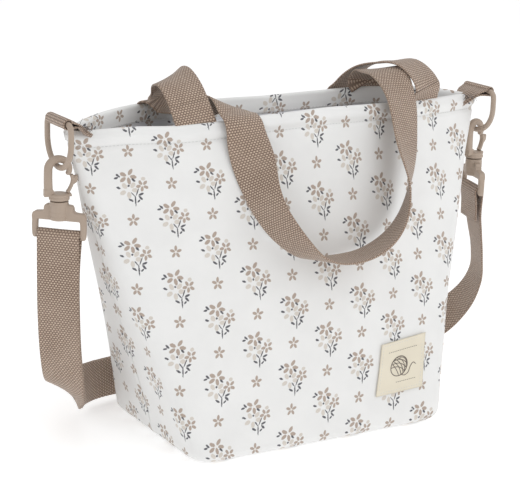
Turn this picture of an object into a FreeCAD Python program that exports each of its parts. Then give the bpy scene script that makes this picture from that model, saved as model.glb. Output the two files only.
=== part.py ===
import FreeCAD, Part
import math
import os
import Sketcher

# Small boxed tote bag with two carrying handles and a clip-on shoulder strap.
# Frame: origin on the floor at the middle of the base, +X to the right as
# seen from the front, -Y towards the front, +Z up.  Millimetres.

V = FreeCAD.Vector
UP = V(0, 0, 1)
LEFT, RIGHT = -1, 1                   # signs along X
FRONT, REAR = -1, 1                   # signs along Y
SIDES = (("left", LEFT), ("right", RIGHT))
HALVES = (("front", FRONT), ("rear", REAR))
doc = FreeCAD.newDocument("tote_bag")

# ---------------------------------------------------------------- dimensions
ROWS = [
    ("bag_height", 226, "rim height above the floor"),
    ("top_width", 340, "seam to seam across the mouth"),
    ("base_width", 206, "base along X"),
    ("base_depth", 135, "base along Y"),
    ("seam_shift", 5, "side seam top is this far behind the base middle"),
    ("front_bulge", 28, "front rim stands this far before the seam line"),
    ("rear_bulge", 50, "rear rim stands this far behind the seam line"),
    ("crease_radius", 14, "soft corner radius at the base"),
    ("hem_inset", 3, "rounding of the lower edge"),
    ("outer_thick", 1.2, "outer cloth"),
    ("layer_gap", 0.3, "clearance between layers"),
    ("pad_thick", 2.8, "foam wadding"),
    ("lining_thick", 0.8, "lining cloth"),
    ("facing_thick", 1.0, "facing cloth"),
    ("facing_depth", 44, "facing depth below the rim"),
    ("pad_top", 199, "top of the wadding"),
    ("board_width", 188, "base board along X"),
    ("board_depth", 117, "base board along Y"),
    ("board_thick", 1.8, "base board"),
    ("board_corner", 16, "base board corner radius"),
    ("web_width", 30, "webbing width"),
    ("web_thick", 1.6, "webbing thickness"),
    ("ring_tube", 3.8, "ring section diameter"),
    ("ring_span", 38.5, "ring arm centres"),
    ("ring_drop", 12, "bar line to the centre of the ring's round end"),
    ("ring_x", 173, "ring plane from the middle"),
    ("ring_bar_z", 231.5, "height of the ring's straight bar"),
    ("tab_wall", 1.6, "side tab webbing"),
    ("hook_thick", 4.6, "snap hook across its plane"),
    ("eye_radius", 4.6, "inside radius of the hook's curl"),
    ("barrel_dia", 12.7, "swivel barrel"),
    ("barrel_len", 14, "swivel barrel height"),
    ("stem_dia", 6, "swivel stem"),
    ("frame_width", 37.6, "swivel base frame outside width"),
    ("frame_high", 20, "swivel base frame height"),
    ("frame_deep", 4.4, "swivel base frame depth"),
    ("frame_arm", 3.4, "swivel base frame arm"),
    ("gate_thick", 3.6, "gate across the hook plane"),
    ("zip_length", 236, "zip chain"),
    ("zip_y", 14, "zip line behind the base middle"),
    ("zip_z", 213, "upper face of the zip flaps"),
    ("tape_width", 7.4, "visible tape each side"),
    ("tape_thick", 0.5, "zip tape"),
    ("chain_half", 1.55, "half width of the closed chain"),
    ("chain_thick", 1.4, "chain height"),
    ("slider_x", 100, "slider rest position"),
    ("slider_len", 10, "slider length"),
    ("slider_wide", 8, "slider width"),
    ("pull_len", 22, "pull tab length"),
    ("label_size", 40, "woven label side"),
    ("label_thick", 0.6, "woven label"),
    ("label_x", 66, "label middle"),
    ("label_z", 46, "label middle"),
    ("glide_len", 26, "strap adjuster length along the strap"),
    ("glide_high", 37, "strap adjuster height across the strap"),
    ("handle_pitch", 192.9, "distance between a handle's two ends"),
    ("handle_shift", 15.95, "handle pair offset to the right"),
]


class Dimensions:
    """The spreadsheet's values, one attribute for each alias."""


def build_sheet():
    sheet = doc.addObject("Spreadsheet::Sheet", "Dimensions")
    for column, title in zip("ABC", ("name", "value", "meaning")):
        sheet.set(column + "1", title)
    for row, (alias, value, note) in enumerate(ROWS, start=2):
        sheet.set("A%d" % row, alias)
        sheet.set("B%d" % row, str(value))
        sheet.set("C%d" % row, note)
        sheet.setAlias("B%d" % row, alias)
    doc.recompute()
    values = Dimensions()
    for alias, _value, _note in ROWS:
        setattr(values, alias, float(sheet.get(alias)))
    return values


dim = build_sheet()


def cell(alias):
    """Expression that reads one spreadsheet value."""
    return "Dimensions." + alias


PARTS = []


def keep(obj, label):
    obj.Label = label
    PARTS.append(obj)
    return obj


def feature(label, shape):
    obj = doc.addObject("Part::Feature", "F_" + label)
    obj.Shape = shape
    keep(obj, label)


# -------------------------------------------------- sketch and body helpers
def new_body(label):
    return keep(doc.addObject("PartDesign::Body", "B_" + label), label)


def place(body, x, y, z, yaw=0.0):
    body.Placement = FreeCAD.Placement(V(x, y, z), FreeCAD.Rotation(UP, yaw))


def sketch_on(body, axes, name):
    """Sketch on the body's XY, XZ or YZ plane."""
    role = axes + "_Plane"
    plane = next(o for o in body.Origin.OriginFeatures if o.Role == role)
    sketch = body.newObject("Sketcher::SketchObject", "Sk_" + name)
    sketch.AttachmentSupport = [(plane, "")]
    sketch.MapMode = "FlatFace"
    return sketch


def closed_lines(sketch, points):
    """Closed run of lines, each end tied to the next line's start."""
    count = len(points)
    lines = []
    for k in range(count):
        start, end = V(*points[k], 0), V(*points[(k + 1) % count], 0)
        lines.append(sketch.addGeometry(Part.LineSegment(start, end), False))
    for k in range(count):
        sketch.addConstraint(
            Sketcher.Constraint("Coincident", lines[k], 2, lines[(k + 1) % count], 1))
    return lines


def rect(sketch, mid_x, mid_y, wide, high, wide_expr=None, high_expr=None):
    """Rectangle about (mid_x, mid_y), held by its sizes and lower left corner."""
    x0, x1 = mid_x - wide / 2, mid_x + wide / 2
    y0, y1 = mid_y - high / 2, mid_y + high / 2
    low, right, top, left = closed_lines(sketch, [(x0, y0), (x1, y0), (x1, y1), (x0, y1)])

    def constrain(*values):
        return sketch.addConstraint(Sketcher.Constraint(*values))

    constrain("Horizontal", low)
    constrain("Horizontal", top)
    constrain("Vertical", right)
    constrain("Vertical", left)
    width = constrain("DistanceX", low, 1, low, 2, wide)
    height = constrain("DistanceY", right, 1, right, 2, high)
    corner_x = constrain("DistanceX", -1, 1, low, 1, x0)
    corner_y = constrain("DistanceY", -1, 1, low, 1, y0)
    for expr, size, corner, middle in ((wide_expr, width, corner_x, mid_x),
                                       (high_expr, height, corner_y, mid_y)):
        if expr:
            sketch.setExpression("Constraints[%d]" % size, expr)
            sketch.setExpression("Constraints[%d]" % corner, "%g - (%s) / 2" % (middle, expr))


def circle(sketch, mid_x, mid_y, radius, expr=None):
    ring = sketch.addGeometry(Part.Circle(V(mid_x, mid_y, 0), UP, radius), False)
    sketch.addConstraint(Sketcher.Constraint("DistanceX", -1, 1, ring, 3, mid_x))
    sketch.addConstraint(Sketcher.Constraint("DistanceY", -1, 1, ring, 3, mid_y))
    size = sketch.addConstraint(Sketcher.Constraint("Radius", ring, radius))
    if expr:
        sketch.setExpression("Constraints[%d]" % size, expr)


def outline(sketch, points):
    """Closed polyline, each line held by a block constraint."""
    for line in closed_lines(sketch, points):
        sketch.addConstraint(Sketcher.Constraint("Block", line))


def pad(body, sketch, length_expr, symmetric=True, name="Pad"):
    solid = body.newObject("PartDesign::Pad", name)
    solid.Profile = sketch
    solid.Length = 1.0
    solid.setExpression("Length", length_expr)
    if symmetric:
        solid.SideType = "Symmetric"
    body.Tip = solid
    return solid


def pocket(body, sketch, name="Pocket", length=None):
    """Symmetric pocket, right through unless a length is given."""
    cut = body.newObject("PartDesign::Pocket", name)
    cut.Profile = sketch
    cut.Type = "Length" if length else "ThroughAll"
    cut.SideType = "Symmetric"
    if length:
        cut.Length = length
    body.Tip = cut


def revolve(body, sketch, kind, name):
    """Full turn about the sketch's vertical axis; kind is Revolution or Groove."""
    turned = body.newObject("PartDesign::" + kind, name)
    turned.Profile = sketch
    turned.ReferenceAxis = (sketch, ["V_Axis"])
    turned.Angle = 360.0
    body.Tip = turned


# ---------------------------------------------------------------- bag shape
HEM_HIGH = 10.0                       # the lower edge is rounded up to here
CREASE_FADE = 0.55                    # share of the crease radius lost at the rim
SIDE_STEPS, CORNER_STEPS, FACE_STEPS = 14, 16, 60
SEAM_GAP = 0.1                        # each half stops this far from the seam plane
CURVE_POINTS = 57
CURVE_PARAMS = [float(k) for k in range(CURVE_POINTS)]


def half_outline(z, half):
    """Dense outline of one half at height z, left seam to right, and the seam's y."""
    rise = z / dim.bag_height
    inset = dim.hem_inset * max(0.0, 1.0 - z / HEM_HIGH) ** 2
    seam_x = (dim.base_width * (1 - rise) + dim.top_width * rise) / 2 - inset
    seam_y = dim.seam_shift * rise
    side = dim.base_depth / 2 * (1 - rise) - inset * (1 - rise)
    bulge = (dim.front_bulge if half == FRONT else dim.rear_bulge) * rise
    corner = max(0.02, min(dim.crease_radius * (1 - CREASE_FADE * rise), side * 0.85))
    side = max(side, 0.03)

    def face_y(x):
        return side + bulge * (1 - (x / seam_x) ** 2)

    # left side run
    points = [(-seam_x, (side - corner) * k / SIDE_STEPS) for k in range(SIDE_STEPS)]
    # corner: quadratic curve from the side run to the face
    face_x = -seam_x + corner
    for k in range(CORNER_STEPS):
        u = k / float(CORNER_STEPS)
        start, control, end = (1 - u) ** 2, 2 * u * (1 - u), u * u
        points.append((-start * seam_x - control * seam_x + end * face_x,
                       start * (side - corner) + control * side + end * face_y(face_x)))
    # face as far as the middle, then the mirrored right part
    for k in range(FACE_STEPS + 1):
        x = face_x * (1 - k / float(FACE_STEPS))
        points.append((x, face_y(x)))
    points += [(-x, y) for x, y in reversed(points[:-1])]
    return [(x, seam_y + half * y) for x, y in points], seam_y


def offset_clip(points, offset, half, seam_y, gap):
    """Move the half outline inwards and trim it at the seam plane."""
    count = len(points)
    moved = []
    for k in range(count):
        before, after = points[max(0, k - 1)], points[min(count - 1, k + 1)]
        run_x, run_y = after[0] - before[0], after[1] - before[1]
        length = math.hypot(run_x, run_y) or 1.0
        run_x, run_y = run_x / length, run_y / length
        # inwards is left of the travel on the front half, right on the rear
        in_x, in_y = (-run_y, run_x) if half == FRONT else (run_y, -run_x)
        moved.append((points[k][0] + in_x * offset, points[k][1] + in_y * offset))
    inside = [half * (y - seam_y) - gap for _x, y in moved]      # > 0 is kept
    first = last = count // 2
    while first > 0 and inside[first - 1] > 0:
        first -= 1
    while last < count - 1 and inside[last + 1] > 0:
        last += 1

    def end_point(kept, step):
        """Point on the trim line beside the last kept point."""
        x, beyond = moved[kept][0], kept + step
        if 0 <= beyond < count:
            x += (moved[beyond][0] - x) * inside[kept] / (inside[kept] - inside[beyond])
        return (x, seam_y + half * gap)

    return [end_point(first, -1)] + moved[first:last + 1] + [end_point(last, 1)]


def resample(points, count):
    """The same polyline as evenly spaced points."""
    run = [0.0]
    for a, b in zip(points, points[1:]):
        run.append(run[-1] + math.hypot(b[0] - a[0], b[1] - a[1]))
    result = []
    k = 0
    for q in range(count):
        target = run[-1] * q / (count - 1.0)
        while k < len(run) - 2 and run[k + 1] < target:
            k += 1
        u = (target - run[k]) / (run[k + 1] - run[k] or 1.0)
        a, b = points[k], points[k + 1]
        result.append((a[0] + (b[0] - a[0]) * u, a[1] + (b[1] - a[1]) * u))
    return result


def wall_curve(z, offset, half, gap=SEAM_GAP):
    points, seam_y = half_outline(z, half)
    return resample(offset_clip(points, offset, half, seam_y, gap), CURVE_POINTS)


def spline(points, z):
    curve = Part.BSplineCurve()
    curve.interpolate(Points=[V(x, y, z) for x, y in points], Parameters=CURVE_PARAMS)
    return curve.toShape()


def outline_at(points, x):
    """The outline's y at x and its unit run direction there."""
    for a, b in zip(points, points[1:]):
        if (a[0] - x) * (b[0] - x) <= 0 and abs(b[0] - a[0]) > 1e-9:
            u = (x - a[0]) / (b[0] - a[0])
            return a[1] + (b[1] - a[1]) * u, unit((b[0] - a[0], b[1] - a[1], 0.0))
    raise RuntimeError("outline does not reach x = %g" % x)


def unit(vector):
    result = V(vector)
    result.normalize()
    return result


# -------------------------------------------------------------- cloth layers
# heights of the loft sections between a layer's bottom and top
LEVELS = [2, 5, 10, 18, 30, 46, 62, 78, 94, 110, 126, 142, 158, 170, 182, 190, 199, 208, 216]

# offsets inwards from the outer face
PAD_OUT = dim.outer_thick + dim.layer_gap
PAD_IN = PAD_OUT + dim.pad_thick
LINING_OUT = PAD_IN + dim.layer_gap
LINING_IN = LINING_OUT + dim.lining_thick
FACING_IN = LINING_OUT + dim.facing_thick
# heights
PAD_Z = dim.outer_thick + dim.layer_gap
BOARD_Z = PAD_Z + dim.pad_thick + dim.layer_gap
LINING_Z = BOARD_Z + dim.board_thick + dim.layer_gap
FACING_Z = dim.bag_height - dim.facing_depth
LINING_TOP = FACING_Z - 0.3

# label, outer offset, inner offset, bottom, top, floor thickness (0 for none)
LAYERS = [
    ("outer_%s_panel", 0.0, dim.outer_thick, 0.0, dim.bag_height, dim.outer_thick),
    ("%s_padding", PAD_OUT, PAD_IN, PAD_Z, dim.pad_top, 0),
    ("%s_lining", LINING_OUT, LINING_IN, LINING_Z, LINING_TOP, dim.lining_thick),
    ("%s_facing", LINING_OUT, FACING_IN, FACING_Z, dim.bag_height, 0),
]


def panel(half, outer, inner, bottom, top, floor):
    """One sewn layer of the wall, with its half of the bottom if it has a floor."""
    heights = [bottom] + [z for z in LEVELS if bottom + 1.0 < z < top - 1.0] + [top]
    wires = []
    for z in heights:
        a, b = wall_curve(z, outer, half), wall_curve(z, inner, half)
        right_end = Part.makeLine(V(*b[-1], z), V(*a[-1], z))
        left_end = Part.makeLine(V(*a[0], z), V(*b[0], z))
        wires.append(Part.Wire([spline(a, z), right_end, spline(b, z), left_end]))
    solid = Part.makeLoft(wires, True, True)
    if floor:
        # the floor's edge lies inside the wall so that the two fuse
        a = wall_curve(bottom, outer + 0.25 * (inner - outer), half)
        seam = Part.makeLine(V(*a[-1], bottom), V(*a[0], bottom))
        plate = Part.Face(Part.Wire([spline(a, bottom), seam])).extrude(V(0, 0, floor))
        solid = solid.fuse(plate)
        if len(solid.Solids) == 1:
            solid = solid.Solids[0]
    return solid


for layer_label, *layer_sizes in LAYERS:
    for half_name, half_sign in HALVES:
        feature(layer_label % half_name, panel(half_sign, *layer_sizes))


def rounded_board(label, z, thick_alias):
    """Rounded rectangle on the bag's floor."""
    body = new_body(label)
    sketch = sketch_on(body, "XY", label)
    rect(sketch, 0, 0, dim.board_width, dim.board_depth,
         cell("board_width"), cell("board_depth"))
    slab = pad(body, sketch, cell(thick_alias), symmetric=False)
    doc.recompute()
    upright = []
    for k, edge in enumerate(slab.Shape.Edges, start=1):
        run = edge.Vertexes[1].Point - edge.Vertexes[0].Point
        if abs(run.x) < 1e-6 and abs(run.y) < 1e-6:
            upright.append("Edge%d" % k)
    fillet = body.newObject("PartDesign::Fillet", "Fil_" + label)
    fillet.Base = (slab, upright)
    fillet.Radius = dim.board_corner
    fillet.setExpression("Radius", cell("board_corner"))
    body.Tip = fillet
    place(body, 0, 0, z)


rounded_board("base_padding", PAD_Z, "pad_thick")
rounded_board("base_board", BOARD_Z, "board_thick")

# ---------------------------------------------------------------------- zip
FLAP_HALF = 150.0                     # flaps reach this far along X
FLAP_THICK = 1.0
FLAP_GAP = 0.4                        # clearance to the facing
FLAP_EDGE = 4.5                       # flap edge from the zip line
STOP_SIZE = (2.6, 4.6, 1.8)           # along X, Y, Z
STOP_SHIFT = 1.6                      # stop middle beyond the chain end
STOP_LIFT = 0.15
LUG_SPAN = "6.4"                      # across both slider lugs
PIN_Z = 4.7                           # slider pin above the flaps
PULL_WIDE = "3.9"


def zip_flap(half):
    """Recessed cloth flap from the facing to the zip line."""
    z = dim.zip_z - FLAP_THICK
    near = wall_curve(z, FACING_IN + FLAP_GAP, half, FLAP_GAP)
    far = wall_curve(z, FACING_IN + FLAP_GAP, -half, FLAP_GAP)
    mouth = Part.makePolygon([V(x, y, z) for x, y in near + far[::-1] + near[:1]])
    cloth = Part.Face(mouth).extrude(V(0, 0, FLAP_THICK))
    reach = 300
    edge = dim.zip_y + half * FLAP_EDGE
    y = edge - reach if half == FRONT else edge
    box = Part.makeBox(2 * FLAP_HALF, reach, 10, V(-FLAP_HALF, y, z - 5))
    return max(cloth.common(box).Solids, key=lambda solid: solid.Volume)


for half_name, half_sign in HALVES:
    feature(half_name + "_zip_flap", zip_flap(half_sign))


def zip_strip(label, y_expr, width_expr, z_expr, thick_expr):
    """Straight strip as long as the zip."""
    box = doc.addObject("Part::Box", "X_" + label)
    box.setExpression("Length", cell("zip_length"))
    box.setExpression("Width", width_expr)
    box.setExpression("Height", thick_expr)
    box.setExpression("Placement.Base.x", "-%s / 2" % cell("zip_length"))
    box.setExpression("Placement.Base.y", y_expr)
    box.setExpression("Placement.Base.z", z_expr)
    keep(box, label)


CHAIN_FRONT = "%s - %s" % (cell("zip_y"), cell("chain_half"))
CHAIN_REAR = "%s + %s" % (cell("zip_y"), cell("chain_half"))
TAPE = (cell("tape_width"), cell("zip_z") + " + 0.1", cell("tape_thick"))
CHAIN = (cell("chain_half") + " - 0.05", cell("zip_z") + " - 0.4", cell("chain_thick"))
zip_strip("front_zip_tape", CHAIN_FRONT + " - 0.1 - " + cell("tape_width"), *TAPE)
zip_strip("rear_zip_tape", CHAIN_REAR + " + 0.1", *TAPE)
zip_strip("front_zip_chain", CHAIN_FRONT, *CHAIN)
zip_strip("rear_zip_chain", cell("zip_y") + " + 0.05", *CHAIN)


def zip_end_stops():
    """Metal stops at both ends of the chain, one group."""
    length, width, high = STOP_SIZE
    stops = []
    for side in (LEFT, RIGHT):
        x = side * (dim.zip_length / 2 + STOP_SHIFT)
        corner = V(x - length / 2, dim.zip_y - width / 2, dim.zip_z + STOP_LIFT)
        stops.append(Part.makeBox(length, width, high, corner))
    feature("zip_end_stops", Part.makeCompound(stops))


def zip_slider():
    """Cap over the chain with two lugs and a cross pin for the pull."""
    body = new_body("zip_slider")
    half = dim.slider_wide / 2
    sketch = sketch_on(body, "YZ", "slider_section")
    outline(sketch, [(-half, 0.9), (-half, 2.9), (half, 2.9), (half, 0.9),
                     (1.9, 0.9), (1.9, 1.5), (-1.9, 1.5), (-1.9, 0.9)])
    pad(body, sketch, cell("slider_len"))
    sketch = sketch_on(body, "XZ", "slider_lugs")
    outline(sketch, [(-2.2, 2.4), (-1.4, 6.2), (1.4, 6.2), (2.2, 2.4)])
    pad(body, sketch, LUG_SPAN, name="Lugs")
    sketch = sketch_on(body, "XZ", "slider_gap")
    rect(sketch, 0, 5.0, 6.0, 4.2)
    pocket(body, sketch, "LugGap", length=4.2)
    sketch = sketch_on(body, "XZ", "slider_pin")
    circle(sketch, 0, PIN_Z, 0.7)
    pad(body, sketch, LUG_SPAN, name="Pin")
    place(body, dim.slider_x, dim.zip_y, dim.zip_z)


def zip_pull():
    """Pull tab lying along +X, its eye round the slider pin."""
    body = new_body("zip_pull")
    sketch = sketch_on(body, "XZ", "pull")
    outline(sketch, [(-1.5, -0.75), (-0.75, -1.5), (0.75, -1.5), (1.9, -0.7),
                     (dim.pull_len, -0.7), (dim.pull_len, 0.7),
                     (1.9, 0.7), (0.75, 1.5), (-0.75, 1.5), (-1.5, 0.75)])
    pad(body, sketch, PULL_WIDE)
    sketch = sketch_on(body, "XZ", "pull_eye")
    circle(sketch, 0, 0, 0.8)
    pocket(body, sketch)
    place(body, dim.slider_x, dim.zip_y, dim.zip_z + PIN_Z)


zip_end_stops()
zip_slider()
zip_pull()

# ------------------------------------------------------------- D-rings, tabs
RING_BEND = 4.0                       # bend radius between bar and arms
TAB_GAP = 0.35                        # tab bore round the ring
TAB_TAIL_LEN, TAB_TAIL_THICK = 24, 3.4
TAB_LIFT = 0.5                        # tail above the rim


def d_ring(label, side):
    """Round bar bent to a D, its straight bar on top."""
    arm = dim.ring_span / 2
    low = -dim.ring_drop
    bend = RING_BEND
    nook = bend * (1 - math.sqrt(0.5))    # bend's middle from the sharp corner
    body = new_body(label)
    # sketch x runs along Y and sketch y along Z, from the middle of the bar
    path = sketch_on(body, "YZ", "path_" + label)
    for edge in (
            Part.LineSegment(V(0, 0, 0), V(arm - bend, 0, 0)),
            Part.Arc(V(arm - bend, 0, 0), V(arm - nook, -nook, 0), V(arm, -bend, 0)),
            Part.LineSegment(V(arm, -bend, 0), V(arm, low, 0)),
            Part.Arc(V(arm, low, 0), V(0, low - arm, 0), V(-arm, low, 0)),
            Part.LineSegment(V(-arm, low, 0), V(-arm, -bend, 0)),
            Part.Arc(V(-arm, -bend, 0), V(-arm + nook, -nook, 0), V(-arm + bend, 0, 0)),
            Part.LineSegment(V(-arm + bend, 0, 0), V(0, 0, 0))):
        path.addGeometry(edge, False)
    section = sketch_on(body, "XZ", "tube_" + label)
    circle(section, 0, 0, dim.ring_tube / 2, cell("ring_tube") + " / 2")
    pipe = body.newObject("PartDesign::AdditivePipe", "Pipe_" + label)
    pipe.Profile = section
    pipe.Spine = path
    body.Tip = pipe
    place(body, side * dim.ring_x, dim.seam_shift, dim.ring_bar_z)


def side_tab(label, side):
    """Webbing tube round the ring bar with its doubled tail on the rim end."""
    x, z = dim.ring_x, dim.ring_bar_z
    width = dim.web_width
    y = dim.seam_shift - width / 2
    bore_radius = dim.ring_tube / 2 + TAB_GAP
    along = V(0, 1, 0)
    tube = Part.makeCylinder(bore_radius + dim.tab_wall, width, V(x, y, z), along)
    tail = Part.makeBox(TAB_TAIL_LEN, width, TAB_TAIL_THICK,
                        V(x - TAB_TAIL_LEN, y, dim.bag_height + TAB_LIFT))
    bore = Part.makeCylinder(bore_radius, width + 2, V(x, y - 1, z), along)
    tab = tube.fuse(tail).cut(bore).removeSplitter().Solids[0]
    if side == LEFT:
        tab = tab.mirror(V(0, 0, 0), V(1, 0, 0))
    feature(label, tab)


for side_name, side_sign in SIDES:
    d_ring(side_name + "_d_ring", side_sign)
    side_tab(side_name + "_side_tab", side_sign)

# ---------------------------------------------------- snap hooks and swivels
RING_LOW_Z = dim.ring_bar_z - dim.ring_drop - dim.ring_span / 2   # lowest tube centre
COLLAR_Z = 181.0
EYE_HIGH = RING_LOW_Z - 1.5 - COLLAR_Z        # centre of the curl above the collar
BARREL_TOP_Z = COLLAR_Z - 3.4
FRAME_Z = BARREL_TOP_Z - dim.barrel_len + 6.0     # top of the strap frame
HOOK_YAW = {LEFT: -15.0, RIGHT: 15.0}
BASE_YAW = {LEFT: -45.0, RIGHT: 75.0}


def arc_points(mid_x, mid_z, radius, first, last, count):
    """Points on an arc between two angles in degrees."""
    angles = [math.radians(first + (last - first) * k / (count - 1.0)) for k in range(count)]
    return [(mid_x + radius * math.cos(a), mid_z + radius * math.sin(a)) for a in angles]


def snap_hook(label, side):
    """C-shaped hook: shank, curl over the ring, short nose, collar and stem."""
    eye = dim.eye_radius
    body = new_body(label)
    sketch = sketch_on(body, "XZ", label)
    inner = arc_points(0, EYE_HIGH, eye, 180, -24, 17)
    outer = arc_points(0.2, EYE_HIGH + 0.2, eye + 4.0, -20, 174, 19)
    shank = [(-eye - 5.6, 3.0), (-eye - 4.6, 0.6)]
    outline(sketch, [(-eye, 0.6)] + inner + outer + shank)
    pad(body, sketch, cell("hook_thick"))
    # collar, neck and retaining head of the swivel stem
    sketch = sketch_on(body, "XZ", "stem_" + label)
    stem = dim.stem_dia / 2
    head = stem + 1.1
    outline(sketch, [(0, 1.6), (8.2, 1.6), (8.2, -2.6), (stem, -2.6),
                     (stem, -11.0), (head, -11.4), (head, -13.6), (0, -13.6)])
    revolve(body, sketch, "Revolution", "Rev_" + label)
    place(body, side * dim.ring_x, dim.seam_shift, COLLAR_Z, HOOK_YAW[side])


def hook_gate(label, side):
    """Sprung tongue that closes the hook's mouth, pivoted at the collar."""
    eye = dim.eye_radius
    top = EYE_HIGH - 3.6
    body = new_body(label)
    sketch = sketch_on(body, "XZ", label)
    outline(sketch, [(4.0, 2.2), (6.6, 2.2), (eye + 3.2, 7.0), (eye + 4.2, 10.0),
                     (eye + 6.4, 12.6), (eye + 6.4, 13.8), (eye + 3.4, top),
                     (eye + 0.9, top), (eye + 0.9, 8.0), (4.0, 4.4)])
    pad(body, sketch, cell("gate_thick"))
    place(body, side * dim.ring_x, dim.seam_shift, COLLAR_Z, HOOK_YAW[side])


def swivel_base(label, side):
    """Rectangular strap frame with a barrel that holds the hook's stem."""
    body = new_body(label)
    sketch = sketch_on(body, "XZ", "frame_" + label)
    rect(sketch, 0, -dim.frame_high / 2, dim.frame_width, dim.frame_high,
         cell("frame_width"), cell("frame_high"))
    pad(body, sketch, cell("frame_deep"))
    # window above the strap bar and open gap below it: middle height, height
    inside = dim.frame_width - 2 * dim.frame_arm
    inside_expr = "%s - 2 * %s" % (cell("frame_width"), cell("frame_arm"))
    for name, middle, high in (("window_", -8.3, 8.2), ("gap_", -19.6, 5.6)):
        sketch = sketch_on(body, "XZ", name + label)
        rect(sketch, 0, middle, inside, high, inside_expr)
        pocket(body, sketch)
    barrel = dim.barrel_dia / 2
    bore = dim.stem_dia / 2 + 0.25
    seat = dim.stem_dia / 2 + 1.4
    top = BARREL_TOP_Z - FRAME_Z
    sketch = sketch_on(body, "XZ", "barrel_" + label)
    outline(sketch, [(bore, -3.9), (barrel, -3.9), (barrel, top), (bore, top)])
    revolve(body, sketch, "Revolution", "Rev_" + label)
    for name, sign in (("ShoulderR", 1), ("ShoulderL", -1)):
        sketch = sketch_on(body, "XZ", name + label)
        near, far = sign * (barrel - 0.6), sign * (barrel + 3.6)
        outline(sketch, [(near, -0.5), (far, -0.5), (far, 4.2), (near, 5.4)])
        pad(body, sketch, cell("frame_deep"), name=name)
    # bore right through the barrel and a seat for the stem's head
    sketch = sketch_on(body, "XZ", "bore_" + label)
    outline(sketch, [(0, top + 1), (bore, top + 1), (bore, 1.4),
                     (seat, 1.2), (seat, -4.2), (0, -4.2)])
    revolve(body, sketch, "Groove", "Bore_" + label)
    place(body, side * dim.ring_x, dim.seam_shift, FRAME_Z, BASE_YAW[side])


for side_name, side_sign in SIDES:
    snap_hook(side_name + "_snap_hook", side_sign)
    hook_gate(side_name + "_hook_gate", side_sign)
    swivel_base(side_name + "_swivel_base", side_sign)


# ------------------------------------------------------------------- webbing
# A station is (centre, width direction) of a band.
def stations(rows):
    """Stations from rows of centre x, y, z and width direction x, y, z."""
    return [(V(*row[:3]), V(*row[3:])) for row in rows]


def smooth(controls, steps):
    """Catmull-Rom curve through control stations, steps to each span."""
    result = []
    last = len(controls) - 1
    for i in range(last):
        span = [controls[max(0, i - 1)], controls[i], controls[i + 1], controls[min(last, i + 2)]]
        for k in range(steps):
            u = k / float(steps)
            centre, width_dir = [
                (b * 2 + (c - a) * u + (a * 2 - b * 5 + c * 4 - d) * u ** 2
                 + (b * 3 - a - c * 3 + d) * u ** 3) * 0.5
                for a, b, c, d in zip(*span)]
            result.append((centre, unit(width_dir)))
    result.append((controls[-1][0], unit(controls[-1][1])))
    return result


def travel_at(path, i):
    """Unit direction from the station before i to the one after."""
    return unit(path[min(len(path) - 1, i + 1)][0] - path[max(0, i - 1)][0])


def webbing(path, first_dir=None, last_dir=None, square=True):
    """Solid band through stations; the directions fix the travel at its ends.

    Sections are turned square to the travel, except at fixed ends or if square is off.
    """
    wires = []
    for i, (centre, width_dir) in enumerate(path):
        travel = travel_at(path, i)
        turned = square
        if i == 0 and first_dir is not None:
            travel, turned = unit(first_dir), False
        if i == len(path) - 1 and last_dir is not None:
            travel, turned = unit(last_dir), False
        across = unit(width_dir)
        if turned:
            across = unit(unit(travel.cross(width_dir)).cross(travel))
        normal = unit(travel.cross(across))
        corners = [centre + across * (a * dim.web_width / 2) + normal * (b * dim.web_thick / 2)
                   for a, b in ((-1, -1), (1, -1), (1, 1), (-1, 1))]
        wires.append(Part.makePolygon(corners + corners[:1]))
    return Part.makeLoft(wires, True, True)


# ------------------------------------------------------------ shoulder strap
REAR_Y = 80.0                         # middle of the two layers behind the bag
RUN_Z = 19.3                          # middle height of the rear run
LAYER_PITCH = 2.4                     # spacing of the two layers
INNER_Y = REAR_Y - LAYER_PITCH / 2
BAR_Z = FRAME_Z - 14.6                # middle of the frame's strap bar
TURN_RADIUS = dim.frame_deep / 2 * math.sqrt(2.0) + 0.25 + dim.web_thick / 2


def bar_directions(side):
    """Strap bar middle, its direction, and the horizontal normal away from the bag."""
    yaw = math.radians(BASE_YAW[side])
    along = V(math.cos(yaw), math.sin(yaw), 0.0)
    middle = V(side * dim.ring_x, dim.seam_shift, BAR_Z)
    return middle, along, V(along.y, -along.x, 0.0)


LEFT_BAR, LEFT_ALONG, LEFT_OUT = bar_directions(LEFT)
RIGHT_BAR, RIGHT_ALONG, RIGHT_OUT = bar_directions(RIGHT)

# sewn tail inside the right bar: depth below the bar, distance inwards
RIGHT_TAIL = [(24, 1.35), (16, 1.5), (8, 2.5)]
# right fall from the bar to the rear run: centre x, y, z, width direction x, y, z
RIGHT_FALL = [
    (183.0, 9.0, 112.0, 0.18, 0.98, 0.02), (186.5, 13.0, 88.0, 0.15, 0.98, 0.10),
    (183.0, 23.0, 62.0, 0.12, 0.92, 0.36), (172.0, 41.0, 38.0, 0.10, 0.70, 0.70),
    (152.0, 62.0, 23.0, 0.06, 0.35, 0.93), (126.0, 76.0, RUN_Z + 0.6, 0.0, 0.08, 1.0),
    (104.0, INNER_Y, RUN_Z, 0, 0, 1), (90.0, INNER_Y, RUN_Z, 0, 0, 1),
    (40.0, INNER_Y, RUN_Z, 0, 0, 1),
]
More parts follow.
